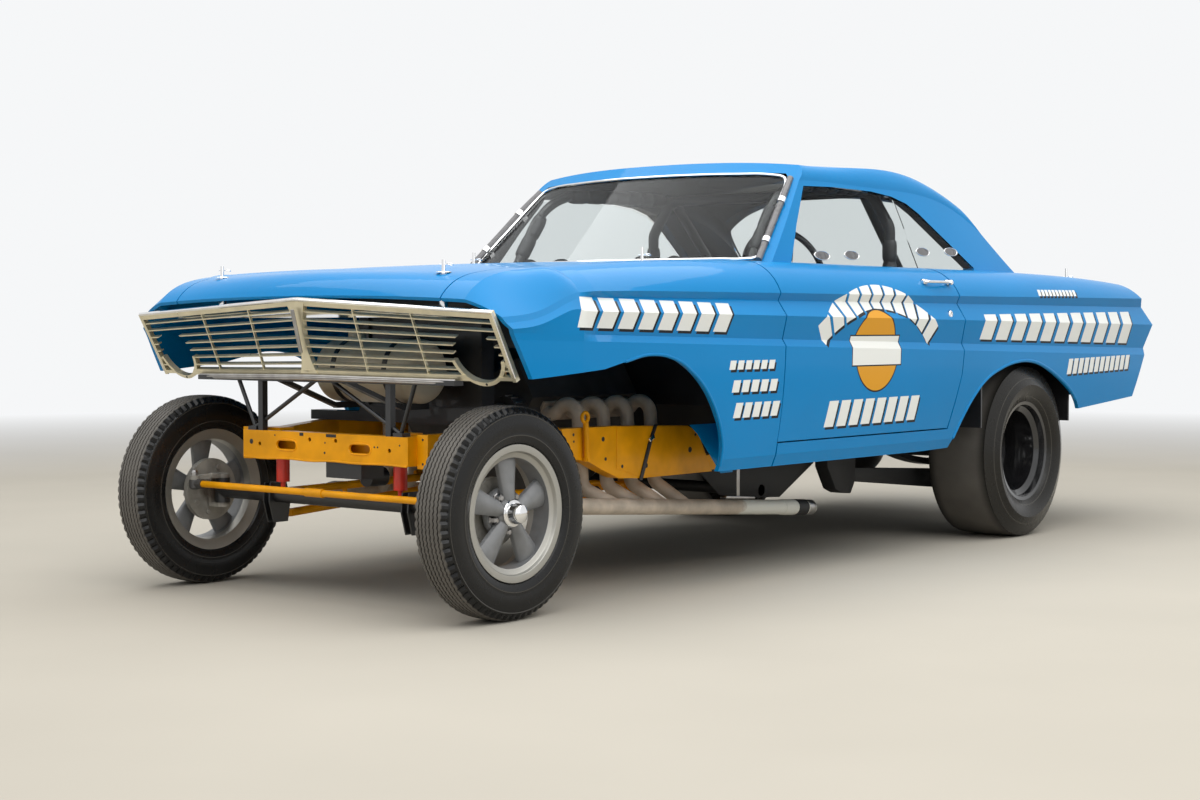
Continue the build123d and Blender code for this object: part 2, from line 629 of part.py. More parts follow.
def tyre_section(center, radius, width, seat, tread_half, shoulder):
    """Adds a tyre: flat tread, round shoulders and a bulged sidewall down to the bead."""
    half = width / 2
    bead_r = RIM_R - 13
    with BuildSketch(wheel_plane(*center)) as section:
        with BuildLine():
            for side in (-1, 1):
                ThreePointArc((side * seat, bead_r), (side * (half - 9), (bead_r + radius) / 2 - 34),
                              (side * half, (bead_r + radius) / 2))
                ThreePointArc((side * half, (bead_r + radius) / 2),
                              (side * (half - shoulder * 0.45), radius - shoulder * 0.86),
                              (side * tread_half, radius - 6))
            ThreePointArc((-tread_half, radius - 6), (0, radius), (tread_half, radius - 6))
            Line((-seat, bead_r), (seat, bead_r))
        make_face()
    revolve(section.sketch, axis=Axis(center, (1, 0, 0)))


front_center = (FRONT_WHEEL_X, FRONT_AXLE_Y, FRONT_TYRE_R)
rear_center = (REAR_WHEEL_X, REAR_AXLE_Y, REAR_TYRE_R)
SPINDLE_R = 17
HUB_BORE_R = SPINDLE_R + PIN_CLEARANCE
FRONT_FACE = 22
FRONT_WELL_R = 178

with BuildPart() as front_rim:
    turned(front_center, rim_outline(FRONT_LIP_OFFSET, FRONT_LIP_OFFSET - 4, FRONT_WELL_R))
    face = Plane(origin=(FRONT_WHEEL_X + FRONT_FACE, FRONT_AXLE_Y, FRONT_TYRE_R), x_dir=(0, 1, 0),
                 z_dir=(1, 0, 0))
    with BuildSketch(face) as spokes:
        with PolarLocations(0, SPOKES, start_angle=90):
            Polygon((48, -33), (FRONT_WELL_R - 3, -22), (FRONT_WELL_R - 3, 22), (48, 33), align=None)
        Circle(62)
    extrude(spokes.sketch, amount=22)
    turned(front_center, [(-20, 40), (50, 40), (62, 30), (96, 26), (112, 12), (116, 0), (-20, 0)])
    with BuildSketch(face) as lugs:
        with PolarLocations(57 - 12, LUGS, start_angle=126):
            RegularPolygon(9, 6)
    extrude(lugs.sketch, amount=34)
    with BuildSketch(face.offset(-60)) as bore:
        Circle(HUB_BORE_R)
    extrude(bore.sketch, amount=88, mode=Mode.SUBTRACT)
both_sides(front_rim, "front_rim")

with BuildPart() as front_tyre:
    tyre_section(front_center, FRONT_TYRE_R, FRONT_TYRE_WIDTH, 46, 54, 30)
    with BuildSketch(wheel_plane(*front_center)) as room:
        Polygon(*rim_outside(FRONT_LIP_OFFSET, FRONT_LIP_OFFSET - 4, FRONT_WELL_R, SEAT_GAP),
                (FRONT_LIP_OFFSET, 0), (4 - FRONT_LIP_OFFSET, 0), align=None)
    revolve(room.sketch, axis=Axis(front_center, (1, 0, 0)), mode=Mode.SUBTRACT)
both_sides(front_tyre, "front_tyre")

# Rear wheel: deep steel disc far inside the rim, and a slick
REAR_DISC = -34
REAR_WELL_R = 172
DRUM_R = 128
REAR_BACK = 122
with BuildPart() as rear_rim:
    turned(rear_center, rim_outline(REAR_LIP_OFFSET, REAR_BACK, REAR_WELL_R))
    turned(rear_center, [(REAR_DISC - 26, REAR_WELL_R - 3), (REAR_DISC - 18, 150), (REAR_DISC + 12, 118),
                         (REAR_DISC + 12, 92), (REAR_DISC, 82), (REAR_DISC, 34), (REAR_DISC - 7, 34),
                         (REAR_DISC - 7, 84), (REAR_DISC + 5, 96), (REAR_DISC + 5, 116),
                         (REAR_DISC - 25, 146), (REAR_DISC - 33, REAR_WELL_R - 3)])
both_sides(rear_rim, "rear_rim")

with BuildPart() as rear_tyre:
    tyre_section(rear_center, REAR_TYRE_R, REAR_TYRE_WIDTH, 110, 126, 44)
    with BuildSketch(wheel_plane(*rear_center)) as room:
        Polygon(*rim_outside(REAR_LIP_OFFSET, REAR_BACK, REAR_WELL_R, SEAT_GAP),
                (REAR_LIP_OFFSET, 0), (-REAR_BACK, 0), align=None)
    revolve(room.sketch, axis=Axis(rear_center, (1, 0, 0)), mode=Mode.SUBTRACT)
both_sides(rear_tyre, "rear_tyre")

# Front axle: straight tube between the king pins, with spring and ladder-bar brackets
AXLE_R = 26
BOSS_R = 26
BOSS_HALF = 42
BRACKET_X = 320
AXLE_Z = FRONT_TYRE_R
with BuildPart() as front_axle:
    tube((-STEER_PIVOT_X, FRONT_AXLE_Y, AXLE_Z), (STEER_PIVOT_X, FRONT_AXLE_Y, AXLE_Z), AXLE_R)
    for side in (-1, 1):
        pivot = (side * STEER_PIVOT_X, FRONT_AXLE_Y, AXLE_Z - BOSS_HALF)
        tube(pivot, (pivot[0], pivot[1], AXLE_Z + BOSS_HALF), BOSS_R)
        for offset in (-14, 14):
            x = side * (BRACKET_X + offset)
            with BuildSketch(across(x - 3)) as plate:
                Polygon((at(-34), AXLE_Z + 40), (at(34), AXLE_Z + 40), (at(52), AXLE_Z - 20),
                        (at(40), AXLE_Z - 92), (at(-20), AXLE_Z - 92), (at(-40), AXLE_Z - 20), align=None)
            extrude(plate.sketch, amount=6)
    for side in (-1, 1):
        pivot = (side * STEER_PIVOT_X, FRONT_AXLE_Y, AXLE_Z - 60)
        with BuildSketch(Plane(origin=pivot, z_dir=(0, 0, 1))) as bore:
            Circle(STEER_PIN_R + PIN_CLEARANCE)
        extrude(bore.sketch, amount=120, mode=Mode.SUBTRACT)
finish(front_axle, "front_axle")

# Knuckle: yoke over the axle's boss, king pin, spindle, and the arm to the tie rod
YOKE_GAP = 0.3
YOKE_THICK = 14
YOKE_BACK_X = STEER_PIVOT_X + BOSS_R + 6
BRAKE_X = 644
BRAKE_WIDTH = 20
BRAKE_R = 105
TIE_ROD_STATION = -118
TIE_PIN_R = 7
with BuildPart() as knuckle:
    top_z, low_z = AXLE_Z + BOSS_HALF + YOKE_GAP, AXLE_Z - BOSS_HALF - YOKE_GAP
    for start in (top_z, low_z - YOKE_THICK):
        block((STEER_PIVOT_X, YOKE_BACK_X + 14), (at(-24), at(24)), (start, start + YOKE_THICK))
        with BuildSketch(Plane(origin=(STEER_PIVOT_X, FRONT_AXLE_Y, start), z_dir=(0, 0, 1))) as eye:
            Circle(24)
        extrude(eye.sketch, amount=YOKE_THICK)
    block((YOKE_BACK_X, YOKE_BACK_X + 14), (at(-24), at(24)), (low_z - YOKE_THICK, top_z + YOKE_THICK))
    tube((STEER_PIVOT_X, FRONT_AXLE_Y, low_z - YOKE_THICK), (STEER_PIVOT_X, FRONT_AXLE_Y, top_z), STEER_PIN_R)
    tube((YOKE_BACK_X, FRONT_AXLE_Y, AXLE_Z), (FRONT_WHEEL_X + 44, FRONT_AXLE_Y, AXLE_Z), SPINDLE_R)
    tube((YOKE_BACK_X + 14, FRONT_AXLE_Y, AXLE_Z), (BRAKE_X, FRONT_AXLE_Y, AXLE_Z), 34)
    tube((BRAKE_X, FRONT_AXLE_Y, AXLE_Z), (BRAKE_X + BRAKE_WIDTH, FRONT_AXLE_Y, AXLE_Z), BRAKE_R)
    arm_z = top_z
    block((STEER_PIVOT_X - 14, STEER_PIVOT_X + 14), (at(TIE_ROD_STATION), FRONT_AXLE_Y),
          (arm_z, arm_z + YOKE_THICK))
    pin_place = (STEER_PIVOT_X, at(TIE_ROD_STATION), arm_z - 34)
    with BuildSketch(Plane(origin=(STEER_PIVOT_X, at(TIE_ROD_STATION), arm_z), z_dir=(0, 0, 1))) as eye:
        Circle(18)
    extrude(eye.sketch, amount=YOKE_THICK)
    tube(pin_place, (pin_place[0], pin_place[1], arm_z), TIE_PIN_R)
both_sides(knuckle, "knuckle")

# Tie rod: tube with an eye at each end, under the steering arms
ROD_Z = arm_z - YOKE_GAP - 13
with BuildPart() as tie_rod:
    left_end = (STEER_PIVOT_X - 10, at(TIE_ROD_STATION), ROD_Z)
    tube((-left_end[0], left_end[1], ROD_Z), left_end, 11)
    tube((-40, left_end[1], ROD_Z), (40, left_end[1], ROD_Z), 14)
    for side in (-1, 1):
        with BuildSketch(Plane(origin=(side * STEER_PIVOT_X, left_end[1], ROD_Z - 13), z_dir=(0, 0, 1))) as eye:
            Circle(17)
        extrude(eye.sketch, amount=26)
    for side in (-1, 1):
        with BuildSketch(Plane(origin=(side * STEER_PIVOT_X, left_end[1], ROD_Z - 30), z_dir=(0, 0, 1))) as bore:
            Circle(TIE_PIN_R + PIN_CLEARANCE)
        extrude(bore.sketch, amount=60, mode=Mode.SUBTRACT)
finish(tie_rod, "tie_rod")

# Frame: crossmember, and rails that spread out from it to the firewall
CROSS_HALF = 380
CROSS_FRONT = -84
CROSS_DEPTH = 44
CROSS_LOW, CROSS_TOP = 448, 538
CROSS_SHEET = 6
RAIL_X = 560
RAIL_WIDTH = 54
with BuildPart() as front_crossmember:
    block((-CROSS_HALF, CROSS_HALF), (at(CROSS_FRONT), at(CROSS_FRONT + CROSS_DEPTH)), (CROSS_LOW, CROSS_TOP))
    block((-CROSS_HALF + CROSS_SHEET, CROSS_HALF - CROSS_SHEET),
          (at(CROSS_FRONT + CROSS_SHEET), at(CROSS_FRONT + CROSS_DEPTH + 1)),
          (CROSS_LOW + CROSS_SHEET, CROSS_TOP - CROSS_SHEET), Mode.SUBTRACT)
    with BuildSketch(Plane.XZ.offset(-at(CROSS_FRONT - 1))) as slots:
        with Locations((-170, 494), (170, 494)):
            SlotOverall(92, 26)
        with Locations((-300, 494), (300, 494), (-60, 516), (60, 516)):
            Circle(7)
    extrude(slots.sketch, amount=-12, mode=Mode.SUBTRACT)
finish(front_crossmember, "front_crossmember")

RAIL_PLATE = [(430, 549), (708, 547), (1109, 533), (1165, 511), (1252, 366), (849, 366), (725, 373),
              (631, 408), (565, 437), (430, 458)]
RAIL_FRONT_X = 318
RAIL_FRONT_WIDTH = 40
RAIL_REAR = 1640
RAIL_REAR_LOW = 372
SHOCK_X = 272
with BuildPart() as frame_rail:
    side_prism(RAIL_PLATE, RAIL_X - RAIL_WIDTH, RAIL_X, Mode.ADD)
    cross_rear = CROSS_FRONT + CROSS_DEPTH
    cross_mid = (CROSS_LOW + CROSS_TOP) / 2
    start = (RAIL_FRONT_X + 2, at(cross_rear + 14), cross_mid)
    bar(start, (RAIL_X - RAIL_FRONT_WIDTH, at(450), cross_mid + 14), RAIL_FRONT_WIDTH, 92)
    block((RAIL_FRONT_X - 20, RAIL_FRONT_X + 20), (at(cross_rear), at(30)), (CROSS_LOW, CROSS_TOP))
    block((SHOCK_X - 20, RAIL_FRONT_X + 20), (at(cross_rear), at(24)), (CROSS_TOP, CROSS_TOP + 8))
    block((RAIL_X - RAIL_WIDTH, RAIL_X), (at(1200), at(RAIL_REAR)), (RAIL_REAR_LOW, FLOOR_Z - SEAT_GAP))
with BuildPart() as frame_rails:
    add(frame_rail.part)
    mirror(about=Plane.YZ)
finish(frame_rails, "frame_rails")

# Nose: uprights and thin braces from the crossmember to the bar that carries the grille
SUPPORT_LOW, SUPPORT_TOP = 700, 715.2
SUPPORT_FRONT, SUPPORT_REAR = -100, -60
SUPPORT_HALF = 590
TANK_X = (-262, 178)
TANK_STATION = 215
TANK_Z = 731
TANK_R = 105
TANK_LEGS_X = (-190, 110)
with BuildPart() as nose_braces:
    block((-SUPPORT_HALF, SUPPORT_HALF), (at(SUPPORT_FRONT), at(SUPPORT_REAR)), (SUPPORT_LOW, SUPPORT_TOP))
    for side in (-1, 1):
        block(sorted((side * 284, side * 306)), (at(-84), at(-62)), (CROSS_TOP, SUPPORT_TOP))
        block(sorted((side * 316, side * 356)), (at(-84), at(-48)), (CROSS_TOP, CROSS_TOP + 12))
        tube((side * 336, at(-68), CROSS_TOP + 8), (side * 408, at(-78), SUPPORT_LOW + 6), 7)
        tube((side * 336, at(-68), CROSS_TOP + 8), (side * 36, at(-78), SUPPORT_LOW + 6), 7)
    for x in TANK_LEGS_X:
        bar((x, at(SUPPORT_FRONT + 4), SUPPORT_LOW + 8), (x, at(TANK_STATION - 60), TANK_Z - TANK_R - 12), 24, 14)
        block((x - 12, x + 12), (at(TANK_STATION - 64), at(TANK_STATION + 60)),
              (TANK_Z - TANK_R - 20, TANK_Z - TANK_R - SEAT_GAP))
finish(nose_braces, "nose_braces")

# Grille: bars between a centre bar and the outer frame, which carries the lower halves of the lamp rings.
# It stands just before the nose's plane, and its middle leans less than its ends.
BARS = 7
BAR_HEIGHT = 4
BAR_DEPTH = 15
FRAME_HEIGHT = 20
FRAME_DEPTH = 17
POST_SHARES = (0.3, 0.6)
LAMP_X = 690
LAMP_Z = 787
LAMP_HOLE_R = 86
LAMP_RING_R = 98
LAMP_RING_DROP = 12
CENTRE_TOP = Vector(0, at(-191), 955)
CENTRE_LOW = Vector(0, at(-132), 735)
END_TOP = Vector(800, at(-165), 911)
END_LOW = Vector(800, at(-62), 726)


def grille_point(across_share, down_share):
    """A point of the grille's twisted surface, on the left half."""
    middle = CENTRE_TOP + (CENTRE_LOW - CENTRE_TOP) * down_share
    end = END_TOP + (END_LOW - END_TOP) * down_share
    return middle + (end - middle) * across_share


def grille_bar(start, end, lie, depth, height):
    """Adds a bar whose height lies in the grille's surface, along the direction lie."""
    way = end - start
    with BuildSketch(Plane(origin=start, x_dir=way.cross(lie), z_dir=way)) as section:
        Rectangle(depth, height)
    extrude(section.sketch, amount=way.length)


end_lie = END_TOP - END_LOW
end_plane = Plane(origin=END_LOW, x_dir=END_LOW - CENTRE_LOW, z_dir=(END_LOW - CENTRE_LOW).cross(end_lie))
lamp_share = LAMP_X / END_TOP.X
lamp_down = (END_TOP.Z - LAMP_Z) / (END_TOP.Z - END_LOW.Z)
lamp_centre = grille_point(lamp_share, lamp_down)
lamp_plane = Plane(origin=lamp_centre, x_dir=end_plane.x_dir, z_dir=end_plane.z_dir)
with BuildPart() as grille_half:
    for number in range(BARS):
        share = (number + 1) / (BARS + 1)
        grille_bar(grille_point(0, share), grille_point(1, share), end_lie, BAR_DEPTH, BAR_HEIGHT)
    for share in POST_SHARES:
        start, end = grille_point(share, 0), grille_point(share, 1)
        grille_bar(start, end, Vector(1, 0, 0), BAR_DEPTH - 6, BAR_HEIGHT)
    grille_bar(grille_point(0, 0), grille_point(1, 0), end_lie, FRAME_DEPTH, FRAME_HEIGHT)
    grille_bar(grille_point(0, 1), grille_point(lamp_share, 1), end_lie, FRAME_DEPTH, FRAME_HEIGHT)
    top_end = grille_point(1, 0) + (END_TOP - END_LOW).normalized() * (FRAME_HEIGHT / 2)
    low_end = grille_point(1, 1) - (END_TOP - END_LOW).normalized() * (FRAME_HEIGHT / 2)
    grille_bar(top_end, low_end, Vector(1, 0, 0), FRAME_DEPTH, FRAME_HEIGHT - 6)
    grille_bar(grille_point(lamp_share, 1), grille_point(1, 1), end_lie, FRAME_DEPTH, 12)
    with BuildSketch(lamp_plane.offset(-30)) as hole:
        Circle(LAMP_HOLE_R)
    extrude(hole.sketch, amount=60, mode=Mode.SUBTRACT)
    with BuildSketch(lamp_plane.offset(-FRAME_DEPTH / 2)) as ring:
        Circle(LAMP_RING_R)
        Circle(LAMP_HOLE_R, mode=Mode.SUBTRACT)
        with Locations((0, LAMP_RING_R - LAMP_RING_DROP)):
            Rectangle(3 * LAMP_RING_R, 2 * LAMP_RING_R, mode=Mode.SUBTRACT)
    extrude(ring.sketch, amount=FRAME_DEPTH)
    block((-60, 0), (at(-300), at(100)), (500, 1100), Mode.SUBTRACT)
    # the middle bar, waisted like an hourglass
    middle_plane = Plane(origin=CENTRE_LOW, x_dir=(1, 0, 0), z_dir=Vector(1, 0, 0).cross(CENTRE_TOP - CENTRE_LOW))
    tall = (CENTRE_TOP - CENTRE_LOW).length
    with BuildSketch(middle_plane.offset(-FRAME_DEPTH / 2)) as waist:
        with BuildLine():
            Polyline((38, -4), (0, -4), (0, tall + 4), (46, tall + 4))
            ThreePointArc((46, tall + 4), (15, tall * 0.62), (38, -4))
        make_face()
    extrude(waist.sketch, amount=FRAME_DEPTH)
with BuildPart() as grille:
    add(grille_half.part)
    mirror(about=Plane.YZ)
finish(grille, "grille")

# Tank behind the grille, its straps, and the radiator on a cross bar over the rails
with BuildPart() as fuel_tank:
    tank_start = (TANK_X[0], at(TANK_STATION), TANK_Z)
    tube(tank_start, (TANK_X[1], at(TANK_STATION), TANK_Z), TANK_R)
    fillet(fuel_tank.edges().filter_by(GeomType.CIRCLE), radius=34)
    tube((TANK_X[0] + 110, at(TANK_STATION), TANK_Z + 60), (TANK_X[0] + 110, at(TANK_STATION), TANK_Z + 128), 30)
finish(fuel_tank, "fuel_tank")

RADIATOR_HALF = 285
RADIATOR_FRONT, RADIATOR_REAR = 352, 412
RADIATOR_LOW, RADIATOR_TOP = 585, 972
RADIATOR_BAR = (552.2, 585)
with BuildPart() as radiator:
    block((-RADIATOR_HALF, RADIATOR_HALF), (at(RADIATOR_FRONT + 10), at(RADIATOR_REAR - 10)),
          (RADIATOR_LOW, RADIATOR_TOP))
    for side in (-1, 1):
        block(sorted((side * RADIATOR_HALF, side * (RADIATOR_HALF - 46))), (at(RADIATOR_FRONT), at(RADIATOR_REAR)),
              (RADIATOR_LOW, RADIATOR_TOP))
    for z in ((RADIATOR_LOW, RADIATOR_LOW + 24), (RADIATOR_TOP - 24, RADIATOR_TOP)):
        block((-RADIATOR_HALF, RADIATOR_HALF), (at(RADIATOR_FRONT), at(RADIATOR_REAR)), z)
    block((-530, 530), (at(RADIATOR_FRONT), at(RADIATOR_REAR)), RADIATOR_BAR)
finish(radiator, "radiator")

# Engine: one plain block at its real place and size, on mounts that reach the rails
ENGINE_FRONT, ENGINE_REAR = 560, 1120
ENGINE_PROFILE = [(0, 300), (105, 300), (120, 420), (235, 500), (325, 640), (250, 770), (110, 700), (110, 800),
                  (0, 800)]
MOUNT_STATION = 850
with BuildPart() as engine:
    with BuildSketch(Plane.XZ.offset(-at(ENGINE_FRONT))) as profile:
        Polygon(*ENGINE_PROFILE, align=None)
        mirror(about=Plane.YZ)
    extrude(profile.sketch, amount=-(ENGINE_REAR - ENGINE_FRONT))
    for side in (-1, 1):
        block(sorted((side * 150, side * (RAIL_X - RAIL_WIDTH - SEAT_GAP))),
              (at(MOUNT_STATION - 22), at(MOUNT_STATION + 22)), (446, 486))
    tube((0, at(ENGINE_FRONT - 60), 470), (0, at(ENGINE_FRONT), 470), 80)
    tube((250, at(ENGINE_FRONT - 60), 588), (250, at(ENGINE_FRONT + 60), 588), 57)
finish(engine, "engine")

# Headers: four pipes from each head, down inside the rail and out into a long collector
PORT_STATIONS = (650, 780, 910, 1040)
PORT_SHARE = 0.68
FLANGE_SHARES = (0.45, 0.9)
FLANGE_STATIONS = (622, 1080)
FLANGE_THICK = 9
HEADER_TOP = (440, 690)
HEADER_DROP_X = 455
HEADER_R = 23
HEADER_BEND = 45
PIPE_X = 560
PIPE_R = 27
PIPE_FRONT, PIPE_REAR = (573, 290), (1894, 192)
head_low, head_high = Vector(*ENGINE_PROFILE[3]), Vector(*ENGINE_PROFILE[4])
head_way = head_high - head_low
head_out = Vector(head_way.Y, -head_way.X).normalized()


def off_head(share, away):
    """The X and Z of a point beside the cylinder head's face, a share of the way up it."""
    point = head_low + head_way * share + head_out * away
    return point.X, point.Y


with BuildPart() as headers_left:
    with BuildSketch(Plane.XZ.offset(-at(FLANGE_STATIONS[0]))) as flange:
        low, high = FLANGE_SHARES
        Polygon(off_head(low, SEAT_GAP), off_head(high, SEAT_GAP), off_head(high, FLANGE_THICK),
                off_head(low, FLANGE_THICK), align=None)
    extrude(flange.sketch, amount=FLANGE_STATIONS[0] - FLANGE_STATIONS[1])
    slope = (PIPE_REAR[1] - PIPE_FRONT[1]) / (PIPE_REAR[0] - PIPE_FRONT[0])
    tube((PIPE_X, at(PIPE_FRONT[0]), PIPE_FRONT[1]), (PIPE_X, at(PIPE_REAR[0]), PIPE_REAR[1]), PIPE_R)
    for station in PORT_STATIONS:
        meet = station + 70
        meet_z = PIPE_FRONT[1] + slope * (meet - PIPE_FRONT[0])
        port, elbow = off_head(PORT_SHARE, 4), off_head(PORT_SHARE, 49)
        bent_tube([(port[0], at(station), port[1]), (elbow[0], at(station), elbow[1]),
                   (HEADER_TOP[0], at(station), HEADER_TOP[1]), (HEADER_DROP_X, at(station + 10), 340),
                   (PIPE_X, at(meet), meet_z)], HEADER_R, HEADER_BEND)
with BuildPart() as exhaust_headers:
    add(headers_left.part)
    mirror(about=Plane.YZ)
finish(exhaust_headers, "exhaust_headers")

# Transmission with its cross bar between the rails
CASE_HALF = 105
with BuildPart() as transmission:
    with BuildSketch(Plane.XZ.offset(-at(ENGINE_REAR + SEAT_GAP))) as bell:
        with Locations((0, 470)):
            Circle(180)
    with BuildSketch(Plane.XZ.offset(-at(ENGINE_REAR + 56))) as neck:
        with Locations((0, 462)):
            Circle(150)
    loft([bell.sketch, neck.sketch])
    block((-CASE_HALF, CASE_HALF), (at(ENGINE_REAR + 50), at(1610)), (345, 560))
    tube((0, at(1600), 440), (0, at(1745), 434), 48)
    block((-(RAIL_X - RAIL_WIDTH - SEAT_GAP), RAIL_X - RAIL_WIDTH - SEAT_GAP), (at(1540), at(1590)),
          (RAIL_REAR_LOW + 4, RAIL_REAR_LOW + 40))
finish(transmission, "transmission")

# Rear axle: tube, gear case, brake drums and hub stubs, with the driveshaft at its nose
REAR_AXLE_R = 40
DRUM_X = (572, 669)
HUB_STUB_R = 34 - PIN_CLEARANCE
with BuildPart() as rear_axle:
    axle_z = REAR_TYRE_R
    tube((-DRUM_X[0], REAR_AXLE_Y, axle_z), (DRUM_X[0], REAR_AXLE_Y, axle_z), REAR_AXLE_R)
    with BuildSketch(Plane(origin=(0, REAR_AXLE_Y, axle_z), x_dir=(1, 0, 0), z_dir=(0, -1, 0))) as half_case:
        with BuildLine():
            ThreePointArc((-150, REAR_AXLE_R - 6), (0, 150), (150, REAR_AXLE_R - 6))
            Polyline((150, REAR_AXLE_R - 6), (150, 0), (-150, 0), (-150, REAR_AXLE_R - 6))
        make_face()
    revolve(half_case.sketch, axis=Axis((0, REAR_AXLE_Y, axle_z), (1, 0, 0)))
    tube((0, at(WHEELBASE - 240), axle_z + 24), (0, at(WHEELBASE - 90), axle_z + 10), 58)
    tube((0, at(1745.3), 433), (0, at(WHEELBASE - 230), axle_z + 24), 38)
    for side in (-1, 1):
        tube((side * DRUM_X[0], REAR_AXLE_Y, axle_z), (side * DRUM_X[1], REAR_AXLE_Y, axle_z), DRUM_R - 3)
        stub_end = REAR_WHEEL_X + REAR_DISC + 8
        tube((side * (DRUM_X[1] - 1), REAR_AXLE_Y, axle_z), (side * stub_end, REAR_AXLE_Y, axle_z), HUB_STUB_R)
finish(rear_axle, "rear_axle")

# Leaf springs under the rear axle, hung from the floor
LEAF_X = 480
LEAF_WIDTH = 60
LEAF_THICK = 30
LEAF_FRONT, LEAF_REAR = (2520, 396), (3720, 446)
with BuildPart() as leaf_left:
    leaf_top = REAR_TYRE_R - REAR_AXLE_R - SEAT_GAP
    with BuildSketch(across(LEAF_X - LEAF_WIDTH / 2)) as side_view:
        with BuildLine():
            front, rear = (at(LEAF_FRONT[0]), LEAF_FRONT[1]), (at(LEAF_REAR[0]), LEAF_REAR[1])
            ThreePointArc(front, (REAR_AXLE_Y, leaf_top), rear)
            Line(rear, (rear[0], rear[1] - 12))
            ThreePointArc((rear[0], rear[1] - 12), (REAR_AXLE_Y, leaf_top - LEAF_THICK), (front[0], front[1] - 12))
            Line((front[0], front[1] - 12), front)
        make_face()
    extrude(side_view.sketch, amount=LEAF_WIDTH)
    limits = (LEAF_X - LEAF_WIDTH / 2, LEAF_X + LEAF_WIDTH / 2)
    block(limits, (at(LEAF_FRONT[0] - 30), at(LEAF_FRONT[0] + 24)), (LEAF_FRONT[1] - 20, FLOOR_Z - SEAT_GAP))
    block(limits, (at(LEAF_REAR[0] - 24), at(LEAF_REAR[0] + 24)), (LEAF_REAR[1] - 20, REAR_FLOOR_Z - SEAT_GAP))
    block((limits[0] - 8, limits[1] + 8), (at(WHEELBASE - 44), at(WHEELBASE + 44)),
          (leaf_top - LEAF_THICK - 14, leaf_top - LEAF_THICK + 8))
with BuildPart() as leaf_springs:
    add(leaf_left.part)
    mirror(about=Plane.YZ)
finish(leaf_springs, "leaf_springs")

# Ladder bars from the front axle's brackets to brackets on the rails
LADDER_END = (400, 975, 312)
LADDER_R = 14
with BuildPart() as ladder_left:
    end = (LADDER_END[0], at(LADDER_END[1]), LADDER_END[2])
    inner, outer = BRACKET_X - 14 + 3 + SEAT_GAP, BRACKET_X + 14 - 3 - SEAT_GAP
    for height, end_z in ((AXLE_Z + 6, 330), (AXLE_Z - 66, 294)):
        block((inner, outer), (at(28), at(76)), (height - 12, height + 12))
        tube((BRACKET_X, at(64), height), (end[0], end[1], end_z), LADDER_R)
    for share in (0.3, 0.6):
        x = BRACKET_X + (end[0] - BRACKET_X) * share
        y = at(64) + (end[1] - at(64)) * share
        tube((x, y, AXLE_Z + 6 + (330 - AXLE_Z - 6) * share), (x, y, AXLE_Z - 66 + (294 - AXLE_Z + 66) * share), 9)
    block((end[0] - 26, end[0] + 26), (end[1] - 24, end[1] + 20), (278, 440))
    block((end[0] - 26, RAIL_X - RAIL_WIDTH - SEAT_GAP), (end[1] - 20, end[1] + 20), (414, 444))
with BuildPart() as front_ladder_bars:
    add(ladder_left.part)
    mirror(about=Plane.YZ)
finish(front_ladder_bars, "front_ladder_bars")

# Shock absorbers between the axle and the rails' front plates
SHOCK_STATION = -8
with BuildPart() as shock_left:
    place = (SHOCK_X, at(SHOCK_STATION))
    tube((*place, AXLE_Z + AXLE_R + SEAT_GAP), (*place, 380), 8)
    tube((*place, 366), (*place, 512), 22)
    tube((*place, 500), (*place, CROSS_TOP - SEAT_GAP), 8)
with BuildPart() as front_shocks:
    add(shock_left.part)
    mirror(about=Plane.YZ)
finish(front_shocks, "front_shocks")

# Roll cage: main hoop behind the seats, shoulder bar and rear struts
CAGE_R = 22
HOOP_X = 590
HOOP_STATION = 2410
FLOOR_TOP = FLOOR_Z + FLOOR_SHEET
with BuildPart() as roll_cage:
    hoop = [(HOOP_X, FLOOR_TOP + SEAT_GAP), (HOOP_X, 1270), (500, 1415)]
    points = [(x, at(HOOP_STATION), z) for x, z in hoop]
    points = points + [(-x, y, z) for x, y, z in points[::-1]]
    bent_tube(points, CAGE_R, 70)
    tube((-HOOP_X, at(HOOP_STATION), 930), (HOOP_X, at(HOOP_STATION), 930), CAGE_R - 2)
    for side in (-1, 1):
        foot = (side * 450, at(3150), REAR_FLOOR_Z + FLOOR_SHEET + 16)
        tube((side * 470, at(HOOP_STATION + 6), 1396), foot, CAGE_R - 2)
        block(sorted((side * 404, side * 496)), (at(3096), at(3204)),
              (REAR_FLOOR_Z + FLOOR_SHEET + SEAT_GAP, REAR_FLOOR_Z + FLOOR_SHEET + 12))
finish(roll_cage, "roll_cage")

# Seats: low-backed buckets
SEAT_X = (330, 598)
SEAT_SIDE = [(1880, FLOOR_TOP + SEAT_GAP), (1850, 590), (1880, 650), (2180, 610), (2262, 1110), (2290, 1128),
             (2340, 1120), (2352, 1090), (2310, 600), (2318, FLOOR_TOP + SEAT_GAP)]
with BuildPart() as seat_left:
    side_prism(SEAT_SIDE, *SEAT_X, Mode.ADD)
    side_edges = seat_left.faces().filter_by(Axis.X).edges()
    fillet(side_edges.filter_by(lambda edge: edge.center().Z > 500), radius=24)
with BuildPart() as seats:
    add(seat_left.part)
    mirror(about=Plane.YZ)
finish(seats, "seats")

